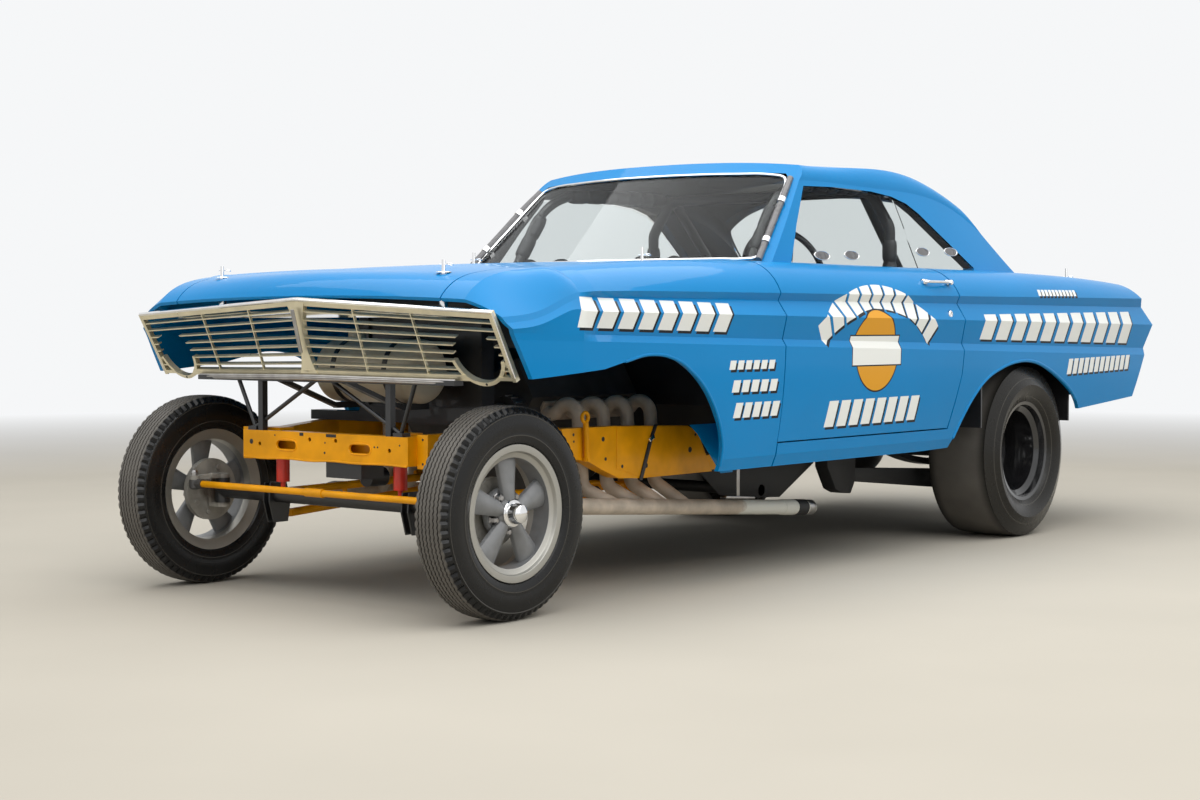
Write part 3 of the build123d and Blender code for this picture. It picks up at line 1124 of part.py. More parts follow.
# Steering column from the firewall through the dashboard, and the steering box
COLUMN_X = 400
COLUMN_R = 24
COLUMN_START, COLUMN_END = (1206, 825), (1912, 1066)
WHEEL_SHAFT_R = 9
with BuildPart() as steering_gear:
    start, end = [(COLUMN_X, at(station), height) for station, height in (COLUMN_START, COLUMN_END)]
    column_way = (Vector(end) - Vector(start)).normalized()
    tube(start, end, COLUMN_R)
    block((COLUMN_X - 50, COLUMN_X + 50), (at(FIREWALL_STATION + FLOOR_SHEET + SEAT_GAP), at(1215)), (772, 872))
    tube(end, tuple(Vector(end) + column_way * 44), WHEEL_SHAFT_R)
    block((10, 170), (at(-78), at(20)), (398, CROSS_LOW - SEAT_GAP))
    tube((90, at(20), 395), (90, at(96), 395), 30)
finish(steering_gear, "steering_gear")

with BuildPart() as dashboard:
    outline = [(1286, 1030), (1286, 1066), (1560, 1068), (1612, 1044), (1616, 950), (1584, 930), (1500, 930),
               (1500, 1030)]
    side_prism(outline, -(POST_INNER_X - 60 - SEAT_GAP), POST_INNER_X - 60 - SEAT_GAP, Mode.ADD)
    with BuildSketch(bar_plane(start, end)) as passage:
        Circle(COLUMN_R + SEAT_GAP)
    extrude(passage.sketch, amount=900, mode=Mode.SUBTRACT)
finish(dashboard, "dashboard")

# Steering wheel: rim, hub and three spokes, turning on the column's shaft
STEERING_RIM_R = 178
STEERING_GRIP_R = 12
with BuildPart() as steering_wheel:
    hub_low = Vector(end) + column_way * 5
    hub_plane = Plane(origin=hub_low, x_dir=(1, 0, 0), z_dir=column_way)
    with BuildSketch(hub_plane) as hub:
        Circle(34)
    extrude(hub.sketch, amount=36)
    rim_centre = hub_low + column_way * 24
    rim_plane = Plane(origin=rim_centre, x_dir=(1, 0, 0), z_dir=hub_plane.y_dir)
    with BuildSketch(rim_plane) as grip:
        with Locations((STEERING_RIM_R, 0)):
            Circle(STEERING_GRIP_R)
    revolve(grip.sketch, axis=Axis(rim_centre, column_way))
    with BuildSketch(hub_plane.offset(20)) as arms:
        for turn in (0, 180, 270):
            with PolarLocations(0, 1, start_angle=turn):
                with Locations((STEERING_RIM_R / 2, 0)):
                    Rectangle(STEERING_RIM_R, 30)
    extrude(arms.sketch, amount=8)
    with BuildSketch(hub_plane.offset(-1)) as bore:
        Circle(WHEEL_SHAFT_R + PIN_CLEARANCE)
    extrude(bore.sketch, amount=60, mode=Mode.SUBTRACT)
finish(steering_wheel, "steering_wheel")

# Tail lamps on the tail panel's upper face
LAMP_PLACE_X = 620
with BuildPart() as tail_lamps:
    (low_station, low_height), (top_station, top_height) = TAIL_LINE[1], TAIL_LINE[2]
    slope_way = Vector(0, top_station - low_station, top_height - low_height)
    middle = ((low_station + top_station) / 2, (low_height + top_height) / 2)
    lamp_face = Plane(origin=(0, at(middle[0]), middle[1]), x_dir=(1, 0, 0), z_dir=(0, slope_way.Z, -slope_way.Y))
    with BuildSketch(lamp_face.offset(SEAT_GAP)) as lenses:
        with Locations((-LAMP_PLACE_X, 0), (LAMP_PLACE_X, 0)):
            RectangleRounded(250, 104, 30)
    extrude(lenses.sketch, amount=18, taper=12)
finish(tail_lamps, "tail_lamps")

# Pins that hold hood and trunk lid, on posts that end just under the panels
LATCH_LOW, LATCH_TOP = 905, 925
with BuildPart() as under_hood:
    for rows in (NOSE_ROWS, SPEAR_ROWS, FENDER_ROWS):
        loft([body_section(row, BODY_WALL + SEAT_GAP, 60) for row in rows])
with BuildPart() as under_deck:
    loft([body_section(row, BODY_WALL + SEAT_GAP, 60) for row in CABIN_ROWS])
with BuildPart() as front_pins:
    station = HOOD_FRONT_PIN[1]
    block((0, 900), (at(station - 20), at(station + 20)), (LATCH_LOW, LATCH_TOP))
    tube((HOOD_FRONT_PIN[0], at(station), LATCH_LOW), (HOOD_FRONT_PIN[0], at(station), 1100), PIN_POST_R)
    station = HOOD_REAR_PIN[1]
    block((HOOD_REAR_PIN[0] - 20, HOOD_REAR_PIN[0] + 20), (at(station - 20), at(FIREWALL_STATION - SEAT_GAP)),
          (1000, 1016))
    tube((HOOD_REAR_PIN[0], at(station), 1000), (HOOD_REAR_PIN[0], at(station), 1120), PIN_POST_R)
    add(under_hood.part, mode=Mode.INTERSECT)
with BuildPart() as rear_pins:
    for x, station in TRUNK_PINS:
        block((0, 900), (at(station - 20), at(station + 20)), (1000, 1018))
        tube((x, at(station), 1000), (x, at(station), 1120), PIN_POST_R)
    add(under_deck.part, mode=Mode.INTERSECT)
with BuildPart() as panel_pins:
    add(front_pins.part)
    add(rear_pins.part)
    tube((HOOD_FRONT_PIN[0], at(HOOD_FRONT_PIN[1]), 940), (HOOD_FRONT_PIN[0], at(HOOD_FRONT_PIN[1]), 1078), PIN_R)
    tube((HOOD_REAR_PIN[0], at(HOOD_REAR_PIN[1]), 1010), (HOOD_REAR_PIN[0], at(HOOD_REAR_PIN[1]), 1154), PIN_R)
    for x, station in TRUNK_PINS:
        tube((x, at(station), 1010), (x, at(station), 1146), PIN_R)
    mirror(about=Plane.YZ)
finish(panel_pins, "panel_pins")
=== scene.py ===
# %% [markdown]
# # A drag racing car, dressed
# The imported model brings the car's solids: body panels, glass, frame, axles, wheels and seats. This notebook
# gives them their paint, rubber and metal, and adds the trim that is too small for the solids. The car stands
# with its nose towards -Y and its left side towards +X, in metres.

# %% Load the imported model
import bpy
from math import atan2, cos, pi, radians, sin
from mathutils import Matrix, Vector


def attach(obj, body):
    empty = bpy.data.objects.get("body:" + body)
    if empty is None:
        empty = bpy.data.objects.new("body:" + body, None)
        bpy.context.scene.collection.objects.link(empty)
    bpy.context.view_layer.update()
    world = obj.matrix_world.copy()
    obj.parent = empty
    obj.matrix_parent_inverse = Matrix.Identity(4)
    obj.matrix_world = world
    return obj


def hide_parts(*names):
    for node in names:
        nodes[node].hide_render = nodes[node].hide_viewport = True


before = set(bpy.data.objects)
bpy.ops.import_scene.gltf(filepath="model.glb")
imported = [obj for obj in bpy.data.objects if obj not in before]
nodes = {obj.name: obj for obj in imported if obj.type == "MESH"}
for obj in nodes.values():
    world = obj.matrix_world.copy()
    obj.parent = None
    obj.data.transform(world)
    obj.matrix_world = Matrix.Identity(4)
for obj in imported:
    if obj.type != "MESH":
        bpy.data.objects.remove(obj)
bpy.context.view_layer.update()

# %% [markdown]
# ## Where the wheels are
# A body shop measures along a car from one fixed point. Here every place is a station, its distance behind the
# front axle, and the wheels' own places serve the rubber, the wheels and the hubs.

# %% Wheel places and stations
FRONT_WHEEL_X, FRONT_AXLE_Y, FRONT_AXLE_Z = 0.69, -2.00225, 0.3215
REAR_WHEEL_X, REAR_AXLE_Y, REAR_AXLE_Z = 0.7155, 1.08575, 0.358
LEFT, RIGHT = 1, -1
SIDES = {"left": LEFT, "right": RIGHT}


def station(behind):
    """Y of a place that far behind the front axle."""
    return behind + FRONT_AXLE_Y


def front_hub(side):
    """Middle of a front wheel."""
    return Vector((side * FRONT_WHEEL_X, FRONT_AXLE_Y, FRONT_AXLE_Z))


print("wheelbase", REAR_AXLE_Y - FRONT_AXLE_Y)

# %% [markdown]
# ## The camera
# The photograph was taken from the left front corner, a little under the height of the roof. Its place was
# solved from the tyres' outlines on the floor, so this camera stands where the real one stood.

# %% Set the camera
SWING, PITCH = radians(50.91), radians(-2.18)
CAMERA_PLACE, CAMERA_LENS = (4.53971, -6.27635, 0.87644), 57.86
look = Vector((-cos(SWING) * cos(PITCH), sin(SWING) * cos(PITCH), sin(PITCH)))
right = Vector((sin(SWING), cos(SWING), 0))
up = right.cross(look)
camera = bpy.data.objects.new("camera", bpy.data.cameras.new("camera"))
bpy.context.scene.collection.objects.link(camera)
turned = Matrix((right, up, -look)).transposed().to_4x4()
camera.matrix_world = Matrix.Translation(CAMERA_PLACE) @ turned
camera.data.lens = CAMERA_LENS
camera.data.clip_end = 200
bpy.context.scene.camera = camera
bpy.context.scene.view_settings.view_transform = "Standard"
print("camera looks along", [round(value, 3) for value in look])

# %% [markdown]
# ## Shader helpers
# A pattern is arithmetic on the place of a point. `Wire` wraps a socket, so that `height > 0.4` or `1 - mask`
# can be written as in Python and becomes Math nodes. `Finish` is one material with its own node maker.

# %% Wires and finishes
class Wire:
    """An output socket of one finish, with arithmetic that adds Math nodes."""

    def __init__(self, finish, socket):
        self.finish = finish
        self.socket = socket

    def math(self, operation, *values, clamp=False):
        settings = {"operation": operation, "use_clamp": clamp}
        return self.finish.node("ShaderNodeMath", settings, dict(enumerate(values)))

    def __add__(self, other):
        return self.math("ADD", self, other)

    def __sub__(self, other):
        return self.math("SUBTRACT", self, other)

    def __rsub__(self, other):
        return self.math("SUBTRACT", other, self)

    def __mul__(self, other):
        return self.math("MULTIPLY", self, other)

    def __truediv__(self, other):
        return self.math("DIVIDE", self, other)

    def __gt__(self, other):
        return self.math("GREATER_THAN", self, other)

    def __lt__(self, other):
        return self.math("LESS_THAN", self, other)

    __radd__ = __add__
    __rmul__ = __mul__

    def part(self, number):
        """Another output of the same node, such as Z beside X."""
        return Wire(self.finish, self.socket.node.outputs[number])

    def abs(self):
        return self.math("ABSOLUTE", self)

    def fract(self):
        return self.math("FRACT", self)

    def sine(self):
        return self.math("SINE", self)

    def low(self, other):
        return self.math("MINIMUM", self, other)

    def high(self, other):
        return self.math("MAXIMUM", self, other)

    def root(self):
        return self.math("SQRT", self)

    def ramp(self, start, end):
        """0 at start, 1 at end, straight between."""
        return self.math("MULTIPLY", self - start, 1 / (end - start), clamp=True)


class Finish:
    """A Principled material that is built up in Python expressions."""

    def __init__(self, name, color, roughness=0.5, metallic=0.0, **sockets):
        self.material = bpy.data.materials.new(name)
        self.material.use_nodes = True
        self.tree = self.material.node_tree
        self.shader = self.tree.nodes["Principled BSDF"]
        self.color = (*color, 1)
        self.rough = roughness
        self.feed(self.shader.inputs["Metallic"], metallic)
        for socket, value in sockets.items():
            self.feed(self.shader.inputs[socket.replace("_", " ")], value)
        self.coordinates = self.tree.nodes.new("ShaderNodeTexCoord")
        self.place = Wire(self, self.coordinates.outputs["Object"])
        self.x = self.node("ShaderNodeSeparateXYZ", {}, {0: self.place})
        self.y, self.z = self.x.part(1), self.x.part(2)

    def feed(self, socket, value):
        """Links a wire to a socket, or writes a plain value into it."""
        if isinstance(value, Wire):
            self.tree.links.new(value.socket, socket)
        else:
            socket.default_value = value

    def node(self, kind, settings, inputs, output=0):
        """A new node with its settings made and its inputs fed, as the wire of one output."""
        made = self.tree.nodes.new(kind)
        for name, value in settings.items():
            setattr(made, name, value)
        for name, value in inputs.items():
            self.feed(made.inputs[name], value)
        return Wire(self, made.outputs[output])

    def noise(self, scale, detail=3.0, stretch=(1, 1, 1)):
        place = self.node("ShaderNodeMapping", {}, {"Vector": self.place, "Scale": stretch})
        return self.node("ShaderNodeTexNoise", {}, {"Vector": place, "Scale": scale, "Detail": detail})

    def mix(self, factor, first, second):
        """A second colour laid over a first one by a factor."""
        settings = {"data_type": "RGBA", "clamp_factor": True}
        return self.node("ShaderNodeMix", settings, {0: factor, 6: first, 7: second}, 2)

    def wear(self, scale, amount, rough_amount):
        """Uneven colour and gloss, as dust, hands and heat leave it."""
        spots = self.noise(scale)
        darker = tuple(value * (1 - amount) for value in self.color[:3]) + (1,)
        lighter = tuple(min(1, value * (1 + amount)) for value in self.color[:3]) + (1,)
        self.color = self.mix(spots.ramp(0.3, 0.7), darker, lighter)
        self.rough = self.rough + (spots - 0.5) * rough_amount

    def grain(self, scale, strength, depth):
        """A fine relief from noise."""
        self.relief(self.noise(scale, 2.0), strength, depth)

    def relief(self, height, strength, depth):
        inputs = {"Height": height, "Strength": strength, "Distance": depth}
        self.feed(self.shader.inputs["Normal"], self.node("ShaderNodeBump", {}, inputs))

    def done(self):
        """Connects colour and roughness, and hands over the material."""
        self.feed(self.shader.inputs["Base Color"], self.color)
        self.feed(self.shader.inputs["Roughness"], self.rough)
        return self.material


def off_axle(across, above):
    """How far a point lies from an axle, or from any middle, by its two offsets."""
    return (across * across + above * above).root()


print("shader helpers ready")

# %% [markdown]
# ## The blue paint and its graphics
# The body wears a glossy mid-blue under a clear coat, with plain painted graphics on both sides: rows of slanted
# white blocks with a black drop shadow, and a gold roundel with a blank white bar on each door. A mask is a
# product of soft steps in Y and Z, and the surface's own normal keeps the graphics off the inner faces.

# %% Painted graphics
WHITE, BLACK, GOLD = (0.83, 0.84, 0.8, 1), (0.008, 0.01, 0.014, 1), (0.72, 0.33, 0.02, 1)
SHADOW_SHIFT = (0.008, -0.009)
EDGE = 0.0008


def inside(value, low, high):
    """1 where value lies between low and high, with a soft edge as wide as a brush line."""
    margin = (value - low).low(high - value)
    return margin.math("MULTIPLY_ADD", margin, 1 / EDGE, 0.5, clamp=True)


def blocks(y, z, stretch, lows, highs, pitch, fill=0.74, slant=0.25):
    """A row of slanted blocks: stations stretch, heights lows and highs at its front and rear end."""
    start, end = (station(behind) for behind in stretch)
    along = y.ramp(start, end)
    low = along * (lows[1] - lows[0]) + lows[0]
    high = along * (highs[1] - highs[0]) + highs[0]
    leaned = y - (z - (lows[0] + highs[0]) / 2) * slant
    count = max(1, round((end - start) / pitch))
    step = (end - start) / count
    cell = ((leaned - start) / step).fract() * step
    row = inside(z, low, high) * inside(cell, step * (1 - fill) / 2, step * (1 + fill) / 2)
    return row * inside(leaned, start, end)


def arch_blocks(y, z, centre, inner, outer, reach, count, fill=0.8):
    """Blocks set round an arc, as reach radians to each side of straight up."""
    across, above = y - station(centre[0]), z - centre[1]
    radius = off_axle(across, above)
    turn = across.math("ARCTAN2", across, above)
    step = 2 * reach / count
    cell = ((turn + reach) / step).fract() * (step * inner)
    gap, block_end = step * inner * (1 - fill) / 2, step * inner * (1 + fill) / 2
    row = inside(radius, inner, outer) * inside(cell, gap, block_end)
    return row * inside(turn, -reach, reach)


ROWS = [
    # stations, low front and rear, high front and rear, pitch
    ((0.12, 0.9), (0.874, 0.858), (0.966, 0.952), 0.098),
    ((1.48, 2.13), (0.522, 0.526), (0.614, 0.618), 0.082),
    ((2.6, 4.09), (0.826, 0.8), (0.924, 0.944), 0.136),
    ((3.4, 4.07), (0.672, 0.684), (0.738, 0.748), 0.056),
    ((3.14, 3.52), (1.004, 1.008), (1.03, 1.034), 0.034),
    ((0.88, 1.15), (0.735, 0.735), (0.765, 0.765), 0.045),
    ((0.9, 1.17), (0.66, 0.66), (0.7, 0.7), 0.054),
    ((0.92, 1.19), (0.575, 0.575), (0.625, 0.625), 0.054),
]
ARCH = {"centre": (1.83, 0.369), "inner": 0.572, "outer": 0.66, "reach": 0.7, "count": 11}
ROUNDEL, ROUNDEL_R = (1.806, 0.79), 0.146
BAR_HIGH, BAR_WIDE = 0.052, 0.168
OUTLINE = 0.005


def painted_rows(y, z):
    """All the block graphics of a side in one mask."""
    total = arch_blocks(y, z, **ARCH)
    for row in ROWS:
        total = total.high(blocks(y, z, *row))
    return total


paint = Finish("body_paint", (0.0, 0.215, 0.52), 0.35, Coat_Weight=0.3, Coat_Roughness=0.03,
               Specular_IOR_Level=0.05)
paint.wear(1.3, 0.05, 0.04)
outward = paint.node("ShaderNodeSeparateXYZ", {}, {0: Wire(paint, paint.coordinates.outputs["Normal"])})
facing = (outward * paint.x > 0.25) * (paint.x.abs() > 0.7)
shadow = painted_rows(paint.y - SHADOW_SHIFT[0], paint.z - SHADOW_SHIFT[1])
across, above = paint.y - station(ROUNDEL[0]), paint.z - ROUNDEL[1]
radius = off_axle(across, above)


def bar_mask(edge):
    """The roundel's blank bar, with an outline that much wider."""
    return inside(above, -BAR_HIGH - edge, BAR_HIGH + edge) * inside(across.abs(), -1, BAR_WIDE + edge)


for mask, shade in ((shadow, BLACK), (painted_rows(paint.y, paint.z), WHITE),
                    (inside(radius, -1, ROUNDEL_R + 0.006), BLACK), (inside(radius, -1, ROUNDEL_R), GOLD),
                    (bar_mask(OUTLINE), BLACK), (bar_mask(0), WHITE)):
    paint.color = paint.mix(mask * facing, paint.color, shade)
lining = (paint.z > 1.11) * ((outward.part(2) < -0.2).high(outward * paint.x < -0.02))
slot = inside(paint.y, station(1.094), station(1.108)) * inside(paint.x, -0.185, 0.15) * (outward.part(2) > 0.5)
paint.color = paint.mix(lining.high(slot), paint.color, BLACK)
paint.rough = paint.rough + lining * 0.5
paint.grain(380, 0.02, 0.001)
finishes = {"body_paint": paint.done()}
print("blue paint uses", len(paint.tree.nodes), "nodes")

# %% [markdown]
# ## The other finishes
# Every part of a race car that shows bare or painted metal ages its own way: the yellow frame paint gathers
# dust, the cast wheels are dull with a machined lip, the header coating flakes towards its end, and the hubs are
# greasy in the middle. Each finish is a base colour with uneven wear and a fine relief.

# %% Paints and metals
def finish(name, color, roughness=0.5, metallic=0.0, wear=(4, 0.1, 0.1), grain=(300, 0.1, 0.0005), **sockets):
    made = Finish(name, color, roughness, metallic, **sockets)
    made.wear(*wear)
    made.grain(*grain)
    finishes[name] = made.done()


finish("frame_paint", (0.82, 0.345, 0.002), 0.36, wear=(9, 0.16, 0.15), Coat_Weight=0.12, Coat_Roughness=0.1,
       Specular_IOR_Level=0.15)
finish("black_paint", (0.012, 0.012, 0.013), 0.38, wear=(12, 0.3, 0.2), Coat_Weight=0.2)
finish("red_paint", (0.72, 0.035, 0.016), 0.3, wear=(14, 0.15, 0.15), Coat_Weight=0.15)
cast = Finish("rim_cast", (0.195, 0.198, 0.2), 0.45)
cast.wear(25, 0.12, 0.1)
machined = off_axle(cast.y - FRONT_AXLE_Y, cast.z - FRONT_AXLE_Z).ramp(0.1662, 0.1666)
cast.color = cast.mix(machined, cast.color, (0.39, 0.38, 0.345, 1))
cast.feed(cast.shader.inputs["Metallic"], machined * 0.7 + 0.1)
cast.grain(420, 0.25, 0.0006)
finishes["rim_cast"] = cast.done()
finish("rim_black", (0.012, 0.012, 0.013), 0.16, wear=(16, 0.25, 0.12), Coat_Weight=0.6)
finish("grille_gold", (0.74, 0.68, 0.5), 0.3, 0.75, wear=(18, 0.08, 0.12), grain=(500, 0.08, 0.0004))
header = Finish("header_coat", (0.5, 0.42, 0.33), 0.5)
header.wear(14, 0.25, 0.2)
flaked = (header.noise(22, 4) * 0.1 + header.y - header.z * 0.9).ramp(station(1.255), station(1.275))
header.color = header.mix(flaked, header.color, (0.72, 0.71, 0.63, 1))
header.grain(260, 0.2, 0.0008)
finishes["header_coat"] = header.done()
finish("bare_steel", (0.36, 0.35, 0.34), 0.32, 1.0, wear=(22, 0.2, 0.2), grain=(300, 0.1, 0.0004))
finish("cast_grey", (0.06, 0.058, 0.055), 0.5, 0.3, wear=(10, 0.3, 0.15), grain=(240, 0.35, 0.001))
knuckle = Finish("knuckle_grey", (0.3, 0.285, 0.25), 0.5)
knuckle.wear(16, 0.35, 0.15)
knuckle_y, knuckle_z = knuckle.y - FRONT_AXLE_Y, knuckle.z - FRONT_AXLE_Z
squared = knuckle_y * knuckle_y + knuckle_z * knuckle_z
greasy = 1 - (squared + knuckle.noise(20) * 0.002).ramp(0.0022, 0.0042)
knuckle.color = knuckle.mix(greasy * 0.85, knuckle.color, (0.05, 0.03, 0.018, 1))
knuckle.grain(240, 0.35, 0.001)
finishes["knuckle_grey"] = knuckle.done()
gear = Finish("gear_black", (0.014, 0.014, 0.014), 0.4)
bright = gear.z.ramp(0.6, 0.61)
gear.color = gear.mix(bright, gear.color, (0.36, 0.35, 0.34, 1))
gear.feed(gear.shader.inputs["Metallic"], bright)
gear.grain(240, 0.3, 0.0008)
finishes["gear_black"] = gear.done()
finish("tank_coat", (0.56, 0.5, 0.38), 0.4, wear=(8, 0.08, 0.12), Coat_Weight=0.3)
finish("black_vinyl", (0.014, 0.014, 0.016), 0.45, wear=(30, 0.2, 0.1), grain=(700, 0.4, 0.0006))
finish("lamp_red", (0.4, 0.01, 0.01), 0.12, wear=(40, 0.1, 0.05), Coat_Weight=1.0)
finish("pin_chrome", (0.8, 0.8, 0.8), 0.08, 1.0, wear=(30, 0.05, 0.06), grain=(200, 0.02, 0.0003))
finish("rubber_seal", (0.01, 0.01, 0.01), 0.6, wear=(30, 0.2, 0.1))
finish("grey_gasket", (0.105, 0.1, 0.1), 0.28, wear=(30, 0.2, 0.1), Coat_Weight=0.3)
print(len(finishes), "finishes so far")

# %% [markdown]
# ## Glass and clear sheet
# The windshield is curved glass, the side and quarter windows are thin clear plastic sheet with hand scuffs.
# Both let the light through and stay a little grey. Their refractive index is set low, because the pale studio
# would otherwise lie over the dark cabin as a veil.

# %% Glass
def clear(name, color, roughness, scuffs, ior):
    made = Finish(name, color, roughness, Transmission_Weight=1.0, IOR=ior, Specular_IOR_Level=0.15)
    smears = made.noise(6, 4, (1, 1, 3))
    made.rough = smears.ramp(0.5, 0.8) * scuffs + roughness
    finishes[name] = made.done()


clear("clear_glass", (0.82, 0.85, 0.845), 0.0, 0.03, 1.15)
clear("clear_sheet", (0.82, 0.85, 0.85), 0.01, 0.06, 1.08)
print("glass and sheet ready")

# %% [markdown]
# ## Rubber
# A tyre that has run is dusty and dull on its tread, with a cleaner sidewall and faint rings. Two thin lighter
# lines on the sidewall are painted highlights along its ribs. The rings are sines of the distance from the axle,
# which stands as high as the tyre's radius.

# %% Tyre rubber
DUST, RIB_HIGHLIGHT = (0.135, 0.124, 0.109, 1), (0.075, 0.07, 0.06, 1)


def rubber(name, axle_y, tread_radius, color, lines):
    made = Finish(name, color, 0.62, Specular_IOR_Level=0.28)
    radius = off_axle(made.y - axle_y, made.z - tread_radius)
    tread = radius.ramp(tread_radius - 0.006, tread_radius - 0.003)
    made.color = made.mix((made.noise(9, 5) * 0.6 + 0.55) * tread, made.color, DUST)
    # Each radius in lines gets a thin lighter ring of colour, a painted highlight along the sidewall's rib.
    for line in lines:
        highlight_band = 1 - (radius - line).abs().ramp(0.0008, 0.0018)
        made.color = made.mix(highlight_band * 0.75, made.color, RIB_HIGHLIGHT)
    made.rough = made.noise(14) * 0.14 + tread * 0.3 + 0.2
    made.relief((radius * 900).sine() * 0.3 + made.noise(300, 2), 0.12, 0.0006)
    finishes[name] = made.done()


rubber("front_rubber", FRONT_AXLE_Y, FRONT_AXLE_Z, (0.009, 0.009, 0.009), (0.2945, 0.2335))
rubber("tyre_rubber", REAR_AXLE_Y, REAR_AXLE_Z, (0.012, 0.011, 0.009), (0.3035, 0.226))
print("rubber for", FRONT_AXLE_Z, "and", REAR_AXLE_Z, "m tyres")

# %% [markdown]
# ## Dress the solids
# Each solid arrives with a plain material named after its slot, and with the true normals of its surfaces, so
# that curved sheet metal shades smoothly and its creases stay crisp. Only the finish is exchanged. The ribbed
# tyres, the hubs and the steering box get a finish of their own.

# %% Finishes on the solids
for node in nodes.values():
    for index, material in enumerate(node.data.materials):
        node.data.materials[index] = finishes[material.name.split(".")[0]]
for side_name in SIDES:
    nodes["front_tyre_" + side_name].data.materials[0] = finishes["front_rubber"]
    nodes["knuckle_" + side_name].data.materials[0] = finishes["knuckle_grey"]
nodes["steering_gear"].data.materials[0] = finishes["gear_black"]
print("dressed", len(nodes), "nodes")

# %% [markdown]
# ## Modelling helpers
# New pieces are modelled as by hand: a profile is extruded point by point and spun round an axle, or a curve is
# given a round section. A finished piece keeps its object at the origin and its place in its mesh, like the
# solids, so that its pattern and its motion stay right.


def leave():
    """Back to object mode with nothing selected."""
    if bpy.context.object and bpy.context.object.mode != "OBJECT":
        bpy.ops.object.mode_set(mode="OBJECT")
    bpy.ops.object.select_all(action="DESELECT")


def pick(piece):
    """Selects one piece alone and makes it the active one."""
    leave()
    piece.select_set(True)
    bpy.context.view_layer.objects.active = piece


def edit():
    """Into edit mode with everything selected."""
    bpy.ops.object.mode_set(mode="EDIT")
    bpy.ops.mesh.select_all(action="SELECT")


def settle(piece, finish_name, body="chassis", angle=35):
    """Applies the piece's place, shades it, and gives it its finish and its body."""
    pick(piece)
    bpy.ops.object.transform_apply(location=True, rotation=True, scale=True)
    bpy.ops.object.shade_smooth_by_angle(angle=radians(angle))
    piece.data.materials.clear()
    piece.data.materials.append(finishes[finish_name])
    leave()
    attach(piece, body)
    return piece


def join(name, parts):
    """One piece from several, before it is settled."""
    leave()
    for part in parts:
        part.select_set(True)
    bpy.context.view_layer.objects.active = parts[0]
    bpy.ops.object.join()
    parts[0].name = name
    return parts[0]


def trace(name, points):
    """Starts a piece as one point and extrudes it from point to point; it stays in edit mode, all selected."""
    leave()
    bpy.ops.mesh.primitive_plane_add(size=0.01, location=points[0])
    piece = bpy.context.object
    piece.name = name
    bpy.ops.object.transform_apply(location=True)
    bpy.ops.object.mode_set(mode="EDIT")
    bpy.ops.mesh.merge(type="CENTER")
    for before, after in zip(points, points[1:]):
        bpy.ops.mesh.extrude_vertices_move(TRANSFORM_OT_translate={"value": after - before})
    bpy.ops.mesh.select_all(action="SELECT")
    return piece


# %% [markdown]
# A lathe turns a profile about an axle, a rod is a curve with a round section, a solid is a box with rounded
# edges, and a block is cut fine enough to be shaped. Small cast and folded pieces start as one of them.

# %% Lathe, rod, tube, solid and block
def weld():
    """In edit mode: joins doubled points and turns all faces outwards."""
    bpy.ops.mesh.select_all(action="SELECT")
    bpy.ops.mesh.remove_doubles(threshold=0.00002)
    bpy.ops.mesh.normals_make_consistent(inside=False)
    leave()


def lathe(name, profile, centre, steps, axis=(1, 0, 0)):
    """Traces a profile of (along the axle, radius) and spins it round the axle."""
    along = Vector(axis).normalized()
    outward = Vector((0, 0, 1)) if abs(along.z) < 0.5 else Vector((0, 1, 0))
    outward = (outward - along * outward.dot(along)).normalized()
    piece = trace(name, [Vector(centre) + along * offset + outward * radius for offset, radius in profile])
    bpy.ops.mesh.spin(steps=steps, angle=2 * pi, center=centre, axis=along)
    weld()
    return piece


def rod(name, points, radius, closed=False, straight=False, sides=3):
    """A round rod or wire through points, straight or smooth, not yet settled."""
    curve = bpy.data.curves.new(name, "CURVE")
    curve.dimensions = "3D"
    spline = curve.splines.new("BEZIER")
    spline.bezier_points.add(len(points) - 1)
    for knot, point in zip(spline.bezier_points, points):
        knot.co = point
        knot.handle_left_type = knot.handle_right_type = "VECTOR" if straight else "AUTO"
    spline.use_cyclic_u = closed
    curve.bevel_depth = radius
    curve.bevel_resolution = sides
    curve.resolution_u = 1 if straight else 8
    curve.use_fill_caps = True
    made = bpy.data.objects.new(name, curve)
    bpy.context.scene.collection.objects.link(made)
    pick(made)
    bpy.ops.object.convert(target="MESH")
    made = bpy.context.object
    bpy.ops.object.mode_set(mode="EDIT")
    weld()
    return made


def tube(name, points, radius, finish_name, body="chassis", **shape):
    """A rod that is a piece of its own."""
    return settle(rod(name, points, radius, **shape), finish_name, body)


def solid(name, size, place, turn=(0, 0, 0), edge=0.002, segments=3):
    """A box with its edges rounded by a bevel, the start of small cast and folded pieces."""
    leave()
    bpy.ops.mesh.primitive_cube_add(size=1, location=place, rotation=turn)
    piece = bpy.context.object
    piece.name = name
    piece.scale = size
    bpy.ops.object.transform_apply(location=True, rotation=True, scale=True)
    edit()
    bpy.ops.mesh.bevel(offset=edge, segments=segments)
    bpy.ops.object.mode_set(mode="OBJECT")
    return piece


def block(name, cuts):
    """A unit cube about the origin, cut into even faces, to be shaped point by point."""
    leave()
    bpy.ops.mesh.primitive_cube_add(size=1)
    piece = bpy.context.object
    piece.name = name
    edit()
    bpy.ops.mesh.subdivide(number_cuts=cuts)
    bpy.ops.object.mode_set(mode="OBJECT")
    return piece


def refine(piece):
    """One level of subdivision, applied."""
    pick(piece)
    finer = piece.modifiers.new("finer", "SUBSURF")
    finer.levels = finer.render_levels = 1
    bpy.ops.object.modifier_apply(modifier="finer")


print("lathe, rod, tube, solid and block ready")

# %% [markdown]
# Trim has to lie on the sheet metal. A ray from outside finds the face of a solid, and lines are written down
# for the left side only.

# %% Lines and faces to build on
SKIN_NODES = ("front_fender_left", "front_fender_right", "door_left", "door_right", "body_shell")


